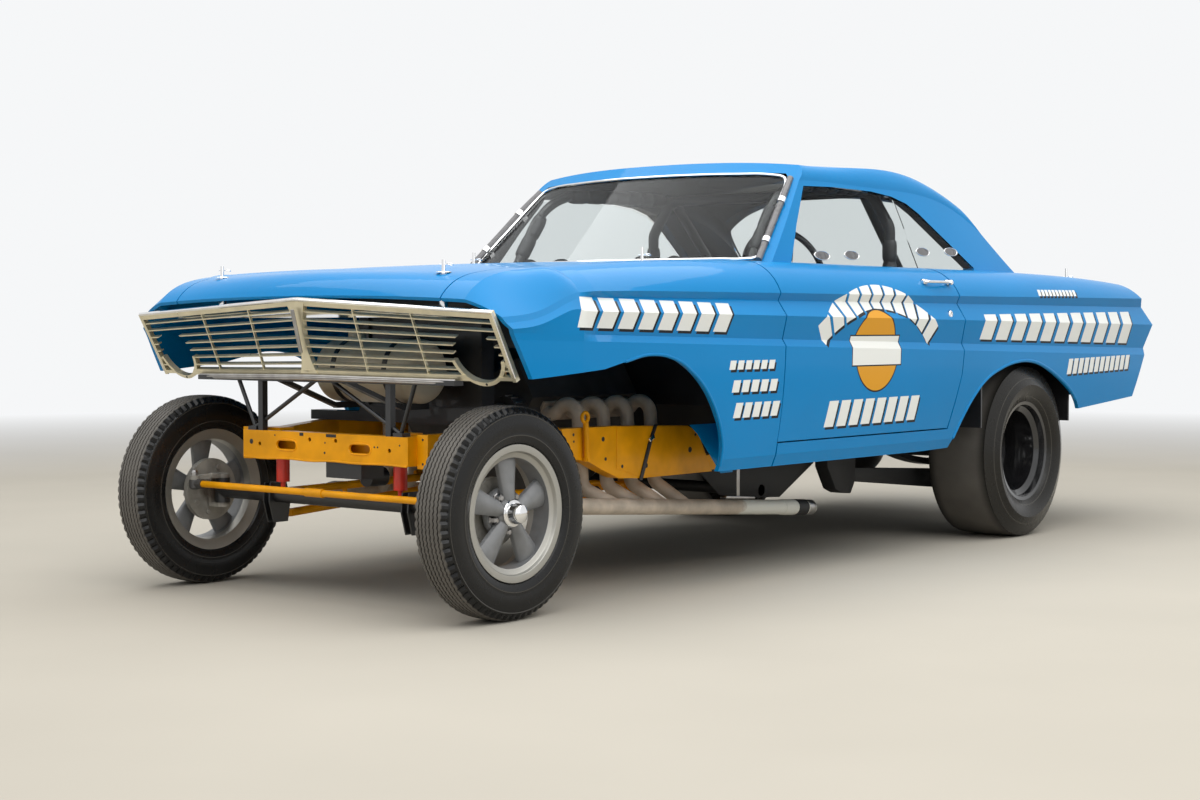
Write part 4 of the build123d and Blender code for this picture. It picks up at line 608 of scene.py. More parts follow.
def at(x, *places):
    """Points at one X, each from a station and a height."""
    return [Vector((x, station(along), height)) for along, height in places]


def to_side(points, side):
    """Points of the left side, on either side."""
    return [Vector((side * point.x, point.y, point.z)) for point in points]


def probe(name, start, way):
    """Where a ray first meets a solid: whether it does, the point, and the face's normal."""
    hit, point, normal, index = nodes[name].ray_cast(Vector(start), Vector(way))
    return hit, point, normal


def skin(along, z, side=LEFT):
    """X of the body's outer face at a station and a height."""
    probes = [probe(name, (side * 1.5, station(along), z), (-side, 0, 0)) for name in SKIN_NODES]
    return side * max(point.x * side for hit, point, normal in probes if hit)


print("skin at the door's middle:", round(skin(1.8, 0.8), 4))

# %% [markdown]
# ## Front tyres
# A bias-ply tyre has straight ribs whose grooves zigzag, and a row of notches where the tread meets the
# shoulder. The profile is spun in many small steps; then every second step of the grooves is pushed sideways
# and every third step of the shoulder is pushed in, which makes the zigzags and the notches real geometry.

# %% Ribbed front tyres
TREAD_HALF, TYRE_R = 0.05, 0.3215
RIB_STEPS = 216
ZIGZAG, NOTCH = 0.0032, 0.0065
GROOVES = (-0.0375, -0.0225, -0.0075, 0.0075, 0.0225, 0.0375)


def crown(x):
    """The tread's radius, a little smaller towards its edges."""
    return TYRE_R - 0.003 * (x / TREAD_HALF) ** 2 - 0.0001


def mirrored(profile, side):
    """A profile for the left side, on either side."""
    return [(side * x, radius) for x, radius in profile]


def tyre_profile():
    """Closed profile of (across, radius): tread with its grooves, sidewalls, and the hidden inner wall."""
    tread = [(-TREAD_HALF, crown(TREAD_HALF))]
    for groove in GROOVES:
        tread += [(groove - 0.0027, crown(groove)), (groove - 0.0019, crown(groove) - 0.007),
                  (groove + 0.0019, crown(groove) - 0.007), (groove + 0.0027, crown(groove))]
    tread.append((TREAD_HALF, crown(TREAD_HALF)))
    wall = [(0.0575, 0.3115), (0.063, 0.3035), (0.0645, 0.299), (0.0672, 0.2978), (0.0678, 0.295),
            (0.067, 0.293), (0.0688, 0.284), (0.0704, 0.272), (0.0708, 0.262), (0.07, 0.246), (0.0684, 0.236),
            (0.069, 0.2335), (0.0684, 0.2305), (0.0662, 0.222), (0.0622, 0.212), (0.056, 0.2075),
            (0.0545, 0.1965), (0.05, 0.1955)]
    lining = [(0.049, 0.203), (0.056, 0.23), (0.06, 0.262), (0.054, 0.292), (0.04, 0.305)]
    outer = mirrored(wall[::-1], -1) + tread + wall
    return outer + lining + mirrored(lining[::-1], -1) + outer[:1]


for side_name, side in SIDES.items():
    hub = front_hub(side)
    tyre = lathe("ribbed_tyre_" + side_name, tyre_profile(), hub, RIB_STEPS)
    for vertex in tyre.data.vertices:
        offset = vertex.co - hub
        radius = offset.yz.length
        step = round(atan2(offset.y, offset.z) / (2 * pi / RIB_STEPS))
        if step % 2 and abs(offset.x) < TREAD_HALF - 0.004 and radius > TYRE_R - 0.012:
            vertex.co.x += ZIGZAG
        if step % 3 == 0 and abs(offset.x) > TREAD_HALF - 0.001 and radius > 0.3025:
            depth = NOTCH * (0.3 if radius > 0.315 else 1)
            vertex.co.yz = hub.yz + offset.yz * ((radius - depth) / radius)
            vertex.co.x -= 0.0025 if offset.x > 0 else -0.0025
    settle(tyre, "front_rubber", "front_wheel_" + side_name, angle=28)
    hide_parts("front_tyre_" + side_name)
print("ribbed tyres:", len(tyre.data.vertices), "points each")

# %% [markdown]
# ## Front wheels
# The cast wheel has five rounded spokes that widen towards the rim, a broad machined lip with a step, and a
# polished bullet cap. One spoke is shaped from a cube with a subdivision surface, then copied round the hub.

# %% One spoke
def spoke(side, turn):
    """A rounded spoke from hub to rim, wider and deeper towards the rim."""
    piece = block("spoke", 3)
    hub = front_hub(side)
    for vertex in piece.data.vertices:
        x, y, z = vertex.co
        share = z + 0.5
        reach = 0.03 + 0.146 * share
        half = 0.0205 + 0.02 * share + 0.006 * share ** 2
        thick = 0.044 - 0.002 * share
        middle = 0.026 - 0.014 * share
        corner = 1 - 0.75 * (2 * abs(y)) ** 2 * (1 if x > 0 else 0.6)
        local = Vector((side * (middle + x * thick * corner), 2 * y * half, reach))
        vertex.co = hub + Matrix.Rotation(turn, 3, "X") @ local
    refine(piece)
    edit()
    bpy.ops.mesh.normals_make_consistent(inside=False)
    leave()
    return piece


SPOKES = 5
print("each wheel takes", SPOKES, "spokes")

# %% [markdown]
# The barrel, the hub and the cap are turned from profiles, and five nuts stand between the spokes.

# %% Five-spoke wheels
BARREL = [(0.0575, 0.2068), (0.06, 0.206), (0.0604, 0.2), (0.0592, 0.1862), (0.057, 0.184), (0.0485, 0.1828),
          (0.0462, 0.1805), (0.0448, 0.169), (0.0425, 0.1658), (-0.015, 0.1655), (-0.046, 0.172), (-0.056, 0.196),
          (-0.058, 0.206), (-0.055, 0.2068), (-0.05, 0.1945), (-0.038, 0.192), (-0.03, 0.1775), (0.015, 0.179),
          (0.03, 0.1925), (0.05, 0.1945), (0.0575, 0.2068)]
HUB = [(-0.018, 0.03), (-0.012, 0.074), (0.002, 0.077), (0.008, 0.075), (0.01, 0.052), (0.023, 0.048),
       (0.033, 0.045), (0.041, 0.036), (0.044, 0.03), (0.044, 0.023), (-0.018, 0.023), (-0.018, 0.03)]
CAP = [(0.042, 0), (0.042, 0.041), (0.045, 0.042), (0.048, 0.04), (0.05, 0.032), (0.072, 0.0305), (0.08, 0.027),
       (0.085, 0.018), (0.087, 0.008), (0.0875, 0)]
NUT = [(0, 0), (0, 0.0155), (0.0034, 0.0155), (0.0048, 0.0118), (0.019, 0.0112), (0.024, 0.0074), (0.025, 0)]
NUT_CIRCLE, NUT_SEAT = 0.0572, 0.008
for side_name, side in SIDES.items():
    body = "front_wheel_" + side_name
    hub = front_hub(side)
    barrel = lathe("barrel", mirrored(BARREL, side), hub, 96)
    boss = lathe("boss", mirrored(HUB, side), hub, 48)
    spokes = [spoke(side, 2 * pi / SPOKES * count) for count in range(SPOKES)]
    wheel = join("five_spoke_wheel_" + side_name, [barrel, boss] + spokes)
    settle(wheel, "rim_cast", body, angle=40)
    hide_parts("front_rim_" + side_name)
    settle(lathe("bullet_cap_" + side_name, mirrored(CAP, side), hub, 48), "pin_chrome", body)
    nuts = []
    for count in range(SPOKES):
        turn = 2 * pi / SPOKES * (count + 0.5)
        place = hub + Vector((side * NUT_SEAT, NUT_CIRCLE * sin(turn), NUT_CIRCLE * cos(turn)))
        nuts.append(lathe("nut", mirrored(NUT, side), place, 6))
    settle(join("front_wheel_nuts_" + side_name, nuts), "bare_steel", body, angle=20)
print("wheels with", len(wheel.data.polygons), "faces each")

# %% [markdown]
# ## Rear wheels
# The slicks and their deep black wheels come from the solids. What is added is the ring of lug nuts on chrome
# studs round the black hub. A ray finds the wheel's disc, on which they stand.

# %% Lug nuts at the rear
REAR_NUT = [(0, 0), (0, 0.013), (0.004, 0.013), (0.006, 0.01), (0.022, 0.0095), (0.027, 0.005), (0.028, 0)]
REAR_NUTS, REAR_NUT_CIRCLE = 5, 0.057
for side_name, side in SIDES.items():
    axle = Vector((side * REAR_WHEEL_X, REAR_AXLE_Y, REAR_AXLE_Z))
    hit, face, normal = probe("rear_rim_" + side_name, axle + Vector((side * 0.4, REAR_NUT_CIRCLE, 0)), (-side, 0, 0))
    nuts = []
    for count in range(REAR_NUTS):
        turn = 2 * pi / REAR_NUTS * count + 0.3
        place = Vector((face.x, axle.y + REAR_NUT_CIRCLE * sin(turn), axle.z + REAR_NUT_CIRCLE * cos(turn)))
        nuts.append(lathe("nut", mirrored(REAR_NUT, side), place, 6))
    settle(join("rear_wheel_nuts_" + side_name, nuts), "pin_chrome", "rear_wheel_" + side_name, angle=20)
print("wheel disc at X", round(face.x, 4))

# %% [markdown]
# ## Door handles and locks
# Each door has a chrome grab handle on two feet near its rear edge and a small round key lock below it. The
# feet are bevelled blocks, the bar is a round rod bowed away from the skin.

# %% Handles and locks
HANDLE_Z, FRONT_FOOT, REAR_FOOT = 1.047, 2.205, 2.385
LOCK = (2.352, 0.924)
LOCK_PROFILE = [(-0.004, 0), (-0.004, 0.015), (0.003, 0.015), (0.0055, 0.012), (0.0058, 0.0085), (0.003, 0.008),
                (0.003, 0)]
BUTTON = [(-0.004, 0), (-0.004, 0.01), (0.01, 0.01), (0.013, 0.007), (0.013, 0)]
for side_name, side in SIDES.items():
    body = "door_" + side_name
    first, last = skin(FRONT_FOOT, HANDLE_Z, side), skin(REAR_FOOT, HANDLE_Z, side)
    feet = [solid("foot", (0.02, 0.03, 0.02), (x + side * 0.006, station(along), HANDLE_Z), edge=0.005)
            for x, along in ((first, FRONT_FOOT), (last, REAR_FOOT))]
    bar = [Vector((x + side * proud, station(along), HANDLE_Z)) for x, proud, along in
           ((first, 0.01, FRONT_FOOT - 0.012), (first, 0.022, FRONT_FOOT + 0.02),
            (last, 0.022, REAR_FOOT - 0.03), (last, 0.012, REAR_FOOT + 0.012))]
    tube("handle_bar_" + side_name, bar, 0.0062, "pin_chrome", body)
    button = lathe("button", mirrored(BUTTON, side), (last + side * 0.016, station(REAR_FOOT), HANDLE_Z), 20)
    settle(join("handle_feet_" + side_name, feet + [button]), "pin_chrome", body)
    lock_place = (skin(*LOCK, side), station(LOCK[0]), LOCK[1])
    settle(lathe("door_lock_" + side_name, mirrored(LOCK_PROFILE, side), lock_place, 28), "pin_chrome", body)
print("handles at X", round(first, 3), round(last, 3))

# %% [markdown]
# ## Rolled lips of the wheel openings
# Sheet metal is rolled back at the edge of an opening, which leaves a round bead. A rod follows the edge in
# side view, and a ray cast finds how far out the skin stands at each point.

# %% Arch beads
FRONT_ARCH = [(0.345, 0.77), (0.471, 0.79), (0.61, 0.77), (0.68, 0.735), (0.737, 0.697), (0.79, 0.646),
              (0.832, 0.592), (0.864, 0.536), (0.884, 0.482), (0.89, 0.418)]
REAR_ARCH = [(2.436, 0.44), (2.5, 0.532), (2.572, 0.606), (2.66, 0.666), (2.78, 0.708), (2.915, 0.733),
             (3.06, 0.734), (3.19, 0.708), (3.329, 0.66), (3.452, 0.606), (3.522, 0.562)]
for side_name, side in SIDES.items():
    for name, arch, radius in (("front_arch_lip_", FRONT_ARCH, 0.0055), ("rear_arch_lip_", REAR_ARCH, 0.0075)):
        edge = [Vector((skin(along, height + 0.006, side) - side * radius * 0.55, station(along), height))
                for along, height in arch]
        tube(name + side_name, edge, radius, "body_paint")
print("lips on four arches")

# %% [markdown]
# ## Grille trim
# The pale gold grille carries a bright polished edge round its outside, and a plated bar closes it below,
# between the two lamp openings.

# %% Bright edge and lower bar
GRILLE_ENDS = {"top": (0.8, -0.165, 0.911), "low": (0.8, -0.062, 0.726)}
GRILLE_MIDDLE = {"top": (0.0, -0.191, 0.955), "low": (0.0, -0.132, 0.735)}


def grille_place(x_share, row, shift=(0, 0, 0)):
    """A point on the grille's top or lower line, a share of the way out to its end."""
    middle, end = Vector(GRILLE_MIDDLE[row]), Vector(GRILLE_ENDS[row])
    point = middle.lerp(end, abs(x_share))
    if x_share < 0:
        point.x = -point.x
    return point + Vector((0, FRONT_AXLE_Y, 0)) + Vector(shift)


top_edge = [grille_place(share, "top", (0, -0.0068, 0.0062)) for share in (-1, -0.5, 0, 0.5, 1)]
top_edge[0] += Vector((-0.004, 0, 0))
top_edge[-1] += Vector((0.004, 0, 0))
tube("grille_top_edge", top_edge, 0.0066, "pin_chrome", straight=True)
for side_name, side in SIDES.items():
    side_edge = [grille_place(side, "top", (side * 0.006, -0.0065, 0.006)),
                 grille_place(side, "low", (side * 0.006, -0.0085, 0))]
    tube("grille_side_edge_" + side_name, side_edge, 0.003, "pin_chrome", straight=True)
LOW_REACH = 0.735
PLATED_BARS = [(0, 0, 0.0052), (-0.0095, 0.002, 0.0052), (-0.005, -0.003, 0.003)]  # rise, way back, radius
low_ends = [grille_place(share, "low", (0, -0.01, -0.013)) for share in (-LOW_REACH, 0, LOW_REACH)]
for number, (rise, back, thick) in enumerate(PLATED_BARS):
    line = [point + Vector((0, back, rise)) for point in low_ends]
    tube(f"plated_bar_{number}", line, thick, "bare_steel", straight=True)
STRIP_SIZE, STRIP_PLACE = (0.015, 0.005, 0.14), (0, station(-0.1905), 0.862)
settle(solid("grille_centre_strip", STRIP_SIZE, STRIP_PLACE, (radians(15), 0, 0)), "bare_steel")
print("grille edge from", [round(value, 3) for value in top_edge[0]])

# %% [markdown]
# ## Glass trim
# A thin bright moulding follows the rubber round the windshield, and a thick grey gasket, held by two clamps,
# covers the joint at each pillar. The line is drawn from the front, as points of X and height, and a ray cast
# from ahead finds how far back the glass stands at each.

# %% Windshield moulding and pillar gaskets
SHIELD_EDGE = [(0, 1.115), (0.2, 1.115), (0.38, 1.115), (0.54, 1.115), (0.635, 1.115), (0.668, 1.122),
               (0.6565, 1.185), (0.633, 1.27), (0.611, 1.35), (0.6, 1.39), (0.59, 1.41), (0.574, 1.425),
               (0.53, 1.435), (0.38, 1.443), (0.18, 1.447), (0, 1.448)]
PILLAR_FOOT, PILLAR_HEAD = 5, 9
GLASS_MIDDLE_Z = 1.28


def on_glass(x, z):
    """A point of the glass's outer face, or of its edge where the ray passes just outside it."""
    for inset in range(16):
        share = 1 - 0.004 * inset
        aim = Vector((x * share, -3, GLASS_MIDDLE_Z + (z - GLASS_MIDDLE_Z) * share))
        hit, point, normal = probe("windshield", aim, (0, 1, 0))
        if hit:
            break
    return point + Vector((x - aim.x, -0.004, z - aim.z + 0.001))


edge_line = [on_glass(x, z) for x, z in SHIELD_EDGE]
foot, head = edge_line[PILLAR_FOOT], edge_line[PILLAR_HEAD]
edge_line += to_side(edge_line[-2:0:-1], RIGHT)
tube("windshield_moulding", edge_line, 0.0052, "pin_chrome", closed=True)


def pillar_line(*shares):
    """Points just outside the left pillar, from its foot at 0 to its head at 1."""
    return [foot.lerp(head, share) + Vector((0.0165, -0.003, 0.004)) for share in shares]


for side_name, side in SIDES.items():
    gasket_line = pillar_line(-0.06, 0.2, 0.5, 0.8, 1.08)
    gasket_line[-1] += Vector((-0.006, 0.01, 0.004))
    tube("pillar_gasket_" + side_name, to_side(gasket_line, side), 0.0125, "grey_gasket")
    clamps = [rod("clamp", to_side(pillar_line(share - 0.03, share + 0.03), side), 0.0162, straight=True, sides=5)
              for share in (0.2, 0.76)]
    settle(join("gasket_clamps_" + side_name, clamps), "pin_chrome")
print("moulding of", len(edge_line), "points")

# %% [markdown]
# ## On the frame rail
# The plated part of the rail starts at a fold and is bolted on, a strap with a buckle hangs over it, and a
# lever with an eye stands before it. Flat pieces are outlines in side view, filled and given a thickness.

# %% Rail plate, strap and lever
RAIL_FACE, SKIN_PROUD, SKIN_FRONT = 0.56, 0.0016, 0.7
RAIL_SKIN = [(0.711, 0.545), (0.711, 0.406), (0.852, 0.368), (1.248, 0.368), (1.163, 0.509), (1.108, 0.531)]
STRAP = [(0.912, 0.545), (0.93, 0.545), (0.902, 0.497), (0.846, 0.36), (0.828, 0.36), (0.884, 0.497)]
RAIL_HOLES = [(0.489, 0.528, 5), (0.491, 0.506, 4), (0.641, 0.507, 8), (0.654, 0.441, 6), (0.87, 0.408, 9),
              (1.119, 0.449, 10), (1.15, 0.5, 5), (0.74, 0.412, 6)]
LEVER_X = 0.574


def plate(name, outline, x, thick, edge=0.0008):
    """A flat plate from an outline of (station, height), with its outer face at x."""
    piece = trace(name, at(x, *outline))
    bpy.ops.mesh.edge_face_add()
    inward = -thick if x > 0 else thick
    bpy.ops.mesh.extrude_region_move(TRANSFORM_OT_translate={"value": (inward, 0, 0)})
    bpy.ops.mesh.select_all(action="SELECT")
    bpy.ops.mesh.normals_make_consistent(inside=False)
    bpy.ops.mesh.bevel(offset=edge, segments=2)
    leave()
    return piece


def disc(place, radius, proud, axis=(1, 0, 0), name="disc"):
    """A low round button on a face."""
    profile = [(-0.001, 0), (-0.001, radius), (proud * 0.6, radius), (proud, radius * 0.86), (proud, 0)]
    return lathe(name, profile, place, 20, axis)


def ring(name, place, radius, wire, axis=(1, 0, 0)):
    """A round wire ring about an axis."""
    turned = Vector(axis).normalized().to_track_quat("Z", "Y")
    points = [Vector(place) + turned @ Vector((radius * cos(turn), radius * sin(turn), 0))
              for turn in (pi / 4 * count for count in range(8))]
    return rod(name, points, wire, closed=True)


for side_name, side in SIDES.items():
    settle(plate("rail_skin_" + side_name, RAIL_SKIN, side * (RAIL_FACE + SKIN_PROUD), 0.0014), "frame_paint")
    holes = []
    # Each hole is a dark disc: painted shade of the hole's inside.
    for along, height, size in RAIL_HOLES:
        face = RAIL_FACE + SKIN_PROUD * (along > SKIN_FRONT)
        holes.append(disc((side * face, station(along), height), size / 1000, side * 0.0006))
    settle(join("rail_hole_shades_" + side_name, holes), "rubber_seal")
settle(plate("rail_strap", STRAP, RAIL_FACE + 0.0062, 0.004), "black_vinyl")
buckle_place = (RAIL_FACE + 0.0065, station(0.893), 0.499)
settle(solid("strap_buckle", (0.009, 0.03, 0.013), buckle_place, (0.43, 0, 0)), "pin_chrome")
eye = ring("eye", (LEVER_X, station(0.531), 0.583), 0.0155, 0.006)
bolt_line = at(RAIL_FACE - 0.002, (0.539, 0.446)) + at(LEVER_X + 0.01, (0.539, 0.446))
bolt = rod("bolt", bolt_line, 0.007, straight=True)
lever = rod("lever", at(LEVER_X, (0.539, 0.44), (0.537, 0.5), (0.534, 0.566)), 0.0095)
settle(join("rail_lever", [lever, eye, bolt]), "frame_paint")
print("rail dressed with", len(RAIL_HOLES), "holes a side")

# %% [markdown]
# ## Ladder-bar ends
# At its rear end each front ladder bar is a fork round a rod end. Two bent rods meet in a stub, and a dark ball
# joint sits between them.

# %% Forks
FORK_X, EYE_PLACE = 0.4, (0.8, 0.309)
FORK_TOP = [(0.739, 0.345), (0.8, 0.347), (0.85, 0.336), (0.905, 0.307), (0.955, 0.3)]
FORK_LOW = [(0.739, 0.272), (0.8, 0.273), (0.85, 0.281), (0.905, 0.295), (0.955, 0.3)]
for side_name, side in SIDES.items():
    arms = [rod("arm", at(side * FORK_X, *line), 0.0085) for line in (FORK_TOP, FORK_LOW)]
    settle(join("ladder_fork_" + side_name, arms), "frame_paint")
    joint = [ring("eye", *at(side * FORK_X, EYE_PLACE), 0.016, 0.009),
             disc(*at(side * (FORK_X + 0.006), EYE_PLACE), 0.011, side * 0.01)]
    settle(join("rod_end_" + side_name, joint), "cast_grey")
print("forks at X", FORK_X)

# %% [markdown]
# ## Collector fittings
# The long collector has a slip joint near its end, closed by a clamp, a black sleeve and a rolled tip, and
# hangs from the floor by a strap on a saddle. All are turned about the pipe's own line.

# %% Bands, tip and hanger
PIPE_X, PIPE_R = 0.56, 0.027
PIPE_START, PIPE_END = at(PIPE_X, (0.573, 0.29), (1.894, 0.192))
PIPE_WAY = (PIPE_END - PIPE_START).normalized()
NOSE = [(-0.02, PIPE_R), (0.085, PIPE_R), (0.108, PIPE_R - 0.004), (0.116, PIPE_R - 0.012), (0.118, 0)]
SADDLE, SADDLE_X = [(1.32, 0.2655), (1.322, 0.2735), (1.5, 0.259), (1.5, 0.2525)], 0.574


def pipe_band(name, start, end, thick, side):
    """A rolled sleeve on the collector between two stations."""
    centre = PIPE_START + PIPE_WAY * ((station(start) - PIPE_START.y) / PIPE_WAY.y)
    centre.x *= side
    length = (end - start) / PIPE_WAY.y
    profile = [(0, PIPE_R - 0.001), (0, PIPE_R + thick * 0.5), (0.002, PIPE_R + thick),
               (length - 0.002, PIPE_R + thick), (length, PIPE_R + thick * 0.5), (length, PIPE_R - 0.001),
               (0, PIPE_R - 0.001)]
    return lathe(name, profile, centre, 32, PIPE_WAY)


for side_name, side in SIDES.items():
    start, end = to_side((PIPE_START, PIPE_END), side)
    nose = lathe("nose", NOSE, start, 32, -PIPE_WAY)
    bands = [pipe_band("band", 1.69, 1.772, 0.0022, side), nose]
    settle(join("collector_bands_" + side_name, bands), "header_coat")
    settle(pipe_band("collector_tip_" + side_name, 1.85, 1.89, 0.0022, side), "bare_steel")
    # A dark disc closes the tip's mouth: painted shade of the open pipe's inside.
    settle(disc(end, PIPE_R - 0.0022, 0.0006, PIPE_WAY, "collector_mouth_shade_" + side_name), "rubber_seal")
    settle(pipe_band("collector_sleeve_" + side_name, 1.776, 1.842, 0.0032, side), "rubber_seal")
    saddle = plate("saddle", SADDLE, side * SADDLE_X, 0.028)
    strut = solid("strut", (0.004, 0.018, 0.148), (side * PIPE_X, station(1.412), 0.336), edge=0.001)
    settle(join("collector_hanger_" + side_name, [saddle, strut]), "bare_steel")
print("collector dressed to Y", round(PIPE_END.y, 3))

# %% [markdown]
# ## Tank straps and alternator
# The spun tank hangs in two black straps. The alternator shows as a ribbed case with a pulley in front; it is
# turned about its shaft, and its ribs are small blocks copied round it.

# %% Straps and alternator
TANK_CENTRE, TANK_R = Vector((0, station(0.215), 0.731)), 0.105
STRAP_SECTION = [(-0.011, 0.0005), (-0.01, 0.0022), (0.01, 0.0022), (0.011, 0.0005), (-0.011, 0.0005)]
for name, middle in (("left", 0.08), ("right", -0.16)):
    profile = [(middle + across, TANK_R + proud) for across, proud in STRAP_SECTION]
    settle(lathe("tank_strap_" + name, profile, TANK_CENTRE, 64), "black_paint")
SHAFT, SHAFT_WAY = Vector((0.25, station(0.5), 0.588)), (0, 1, 0)
PULLEY = [(-0.002, 0), (-0.002, 0.02), (-0.012, 0.0215), (-0.014, 0.034), (-0.018, 0.034), (-0.02, 0.027),
          (-0.024, 0.027), (-0.026, 0.034), (-0.03, 0.034), (-0.031, 0.012), (-0.036, 0.011), (-0.037, 0)]
BAND = [(0.055, 0.0572), (0.055, 0.0588), (0.078, 0.0588), (0.078, 0.0572), (0.055, 0.0572)]
RIBS, RIB_CIRCLE = 14, 0.0575
details = [lathe("pulley", PULLEY, SHAFT, 40, SHAFT_WAY)]
for count in range(RIBS):
    turn = 2 * pi / RIBS * count
    place = SHAFT + Vector((RIB_CIRCLE * sin(turn), 0.024, RIB_CIRCLE * cos(turn)))
    details.append(solid("rib", (0.006, 0.034, 0.007), place, (0, turn, 0), 0.0015, 2))
settle(join("alternator_details", details), "bare_steel")
settle(lathe("alternator_band", BAND, SHAFT, 48, SHAFT_WAY), "cast_grey")
print("alternator with", RIBS, "ribs")

# %% [markdown]
# ## Pins and clips
# The lift-off hood and trunk lid are held by pins that stand through scuff plates, each locked by a hairpin
# clip. The clips stay on the pins, so they ride on the chassis, and the plates ride on the panels.

# %% Scuff plates and clips
PINS = {"hood": [(0.51, -0.06), (0.4, 1.055)], "trunk_lid": [(0.56, 3.39), (0.56, 4.06)]}
WASHER = [(0, 0.0112), (0.0022, 0.0118), (0.0026, 0.014), (0.0022, 0.0225), (0, 0.0235), (0, 0.0112)]
HAIRPIN = [(-0.016, 0, 0), (0.008, 0, 0), (0.022, 0.002, 0.003), (0.03, 0.008, 0), (0.022, 0.015, -0.003),
           (0.008, 0.0095, 0), (-0.004, 0.0105, 0), (-0.014, 0.014, 0)]
for panel, places in PINS.items():
    washers, clips = [], []
    for across, along in places:
        for side in SIDES.values():
            x, y = side * across, station(along)
            hit, face, normal = probe(panel, (x, y + 0.014, 2), (0, 0, -1))
            washers.append(lathe("washer", WASHER, (x, y, face.z + 0.0002), 28, (0, 0, 1)))
            line = [Vector((x + out, y + back, face.z + 0.024 + rise)) for out, back, rise in HAIRPIN]
            clips.append(rod("clip", line, 0.0013))
    settle(join(panel + "_scuff_plates", washers), "pin_chrome", panel)
    settle(join(panel + "_clips", clips), "pin_chrome")
print("clips on", ", ".join(PINS))

# %% [markdown]
# ## Breather holes in the side windows
# Two oval holes let air through each side window and each quarter window. Each is a dark button, painted shade
# of the cabin seen through the hole, with a bright ring, turned to the slope of the sheet, which the ray cast returns
# as its normal, and then drawn out to an oval.

# %% Window breathers
BREATHERS = {"door_window_": [(1.722, 1.136), (1.93, 1.143)], "quarter_windows": [(2.475, 1.172), (2.705, 1.179)]}


def oval(piece, centre, normal):
    """Draws a round piece out along the car and flattens it in height, in its own plane."""
    for vertex in piece.data.vertices:
        offset = vertex.co - centre
        out = normal * offset.dot(normal)
        flat = offset - out
        vertex.co = centre + out + Vector((flat.x * 0.64, flat.y * 1.9, flat.z * 0.64))
    return piece


for side_name, side in SIDES.items():
    for pane, places in BREATHERS.items():
        name, body = (pane + side_name, "door_" + side_name) if pane.endswith("_") else (pane, "chassis")
        rings, holes = [], []
        for start in at(side * 1.5, *places):
            hit, point, normal = probe(name, start, (-side, 0, 0))
            rings.append(oval(ring("ring", point, 0.0265, 0.0022, normal), point, normal))
            # The dark disc in each hole is painted shade.
            holes.append(oval(disc(point, 0.0255, 0.0008, normal), point, normal))
        settle(join(f"breather_rings_{name}_{side_name}", rings), "pin_chrome", body)
        settle(join(f"breather_hole_shades_{name}_{side_name}", holes), "grey_gasket", body)
print("breathers on", len(BREATHERS) * 2, "panes")

# %% [markdown]
# ## Seats
# The seats are two black vinyl buckets: a stuffed cushion and a stuffed back on a low steel frame. Each pad
# starts as a crowned block with rounded corners, smaller than the real one. It is remeshed into small even
# faces, blown up by the cloth solver's pressure, and each point's way is capped. One subdivision follows, and
# then the sewn channels are pressed in, because a remesh would have erased them.

# %% Stuffed pads
SEAT_X = 0.464
VOXEL, SWELL_CAP, CLOTH_FRAMES = 0.006, 0.022, 20
CHANNEL_STEP, CHANNEL_DEPTH, CHANNEL_HALF, BORDER = 0.043, 0.006, 0.0055, 0.045
WELT_HALF, WELT_HIGH = 0.005, 0.0028


def block_for_pad(name, size):
    """A crowned closed form whose sides pull in between its corners, about the origin."""
    piece = block(name, 7)
    for vertex in piece.data.vertices:
        across, deep, high = (2 * value for value in vertex.co)
        corner = max(abs(across), abs(high)) / max((abs(across) ** 5 + abs(high) ** 5) ** 0.2, 0.001)
        pulled = 1 - 0.035 * (1 - across ** 2) * abs(high) - 0.035 * (1 - high ** 2) * abs(across)
        crown = 0.72 + 0.28 * (1 - across ** 4) * (1 - high ** 4)
        vertex.co = Vector((across * size[0] * corner * pulled, deep * size[1] * crown,
                            high * size[2] * corner * pulled)) / 2
    return piece


def stuff(piece):
    """Remeshes the pad and swells it like stuffed cloth; returns the longest way a point went."""
    pick(piece)
    piece.data.remesh_voxel_size = VOXEL
    bpy.ops.object.voxel_remesh()
    before = [vertex.co.copy() for vertex in piece.data.vertices]
    cloth = piece.modifiers.new("stuffing", "CLOTH")
    cloth.settings.use_pressure = True
    cloth.settings.uniform_pressure_force = 4
    cloth.settings.effector_weights.gravity = 0
    for number in range(1, CLOTH_FRAMES + 1):
        bpy.context.scene.frame_set(number)
    bpy.ops.object.modifier_apply(modifier="stuffing")
    bpy.context.scene.frame_set(1)
    longest = 0
    for vertex, start in zip(piece.data.vertices, before):
        way = vertex.co - start
        longest = max(longest, way.length)
        if way.length > SWELL_CAP:
            vertex.co = start + way.normalized() * SWELL_CAP
    refine(piece)
    return longest


def sew(piece, rows):
    """Presses sewn channels into the pad's front, inside a border seam, and raises a welt round its edge."""
    border_z = max(vertex.co.z for vertex in piece.data.vertices) - BORDER
    border_x = rows * CHANNEL_STEP / 2
    normals = [vertex.normal.copy() for vertex in piece.data.vertices]
    for vertex, normal in zip(piece.data.vertices, normals):
        x, y, z = vertex.co
        if normal.y < -0.45:
            between = abs(x) < border_x + 0.004
            if between and abs(z) < border_z:
                seam = (0.5 - abs((x / CHANNEL_STEP + rows / 2) % 1 - 0.5)) * CHANNEL_STEP
            else:
                seam = abs(abs(x) - border_x)
            if between:
                seam = min(seam, abs(abs(z) - border_z))
            vertex.co -= normal * (CHANNEL_DEPTH * max(0, 1 - (seam / CHANNEL_HALF) ** 2))
        welt = abs(y + 0.018)
        if abs(normal.y) < 0.6 and welt < WELT_HALF:
            vertex.co += normal * WELT_HIGH * (1 - (welt / WELT_HALF) ** 2)


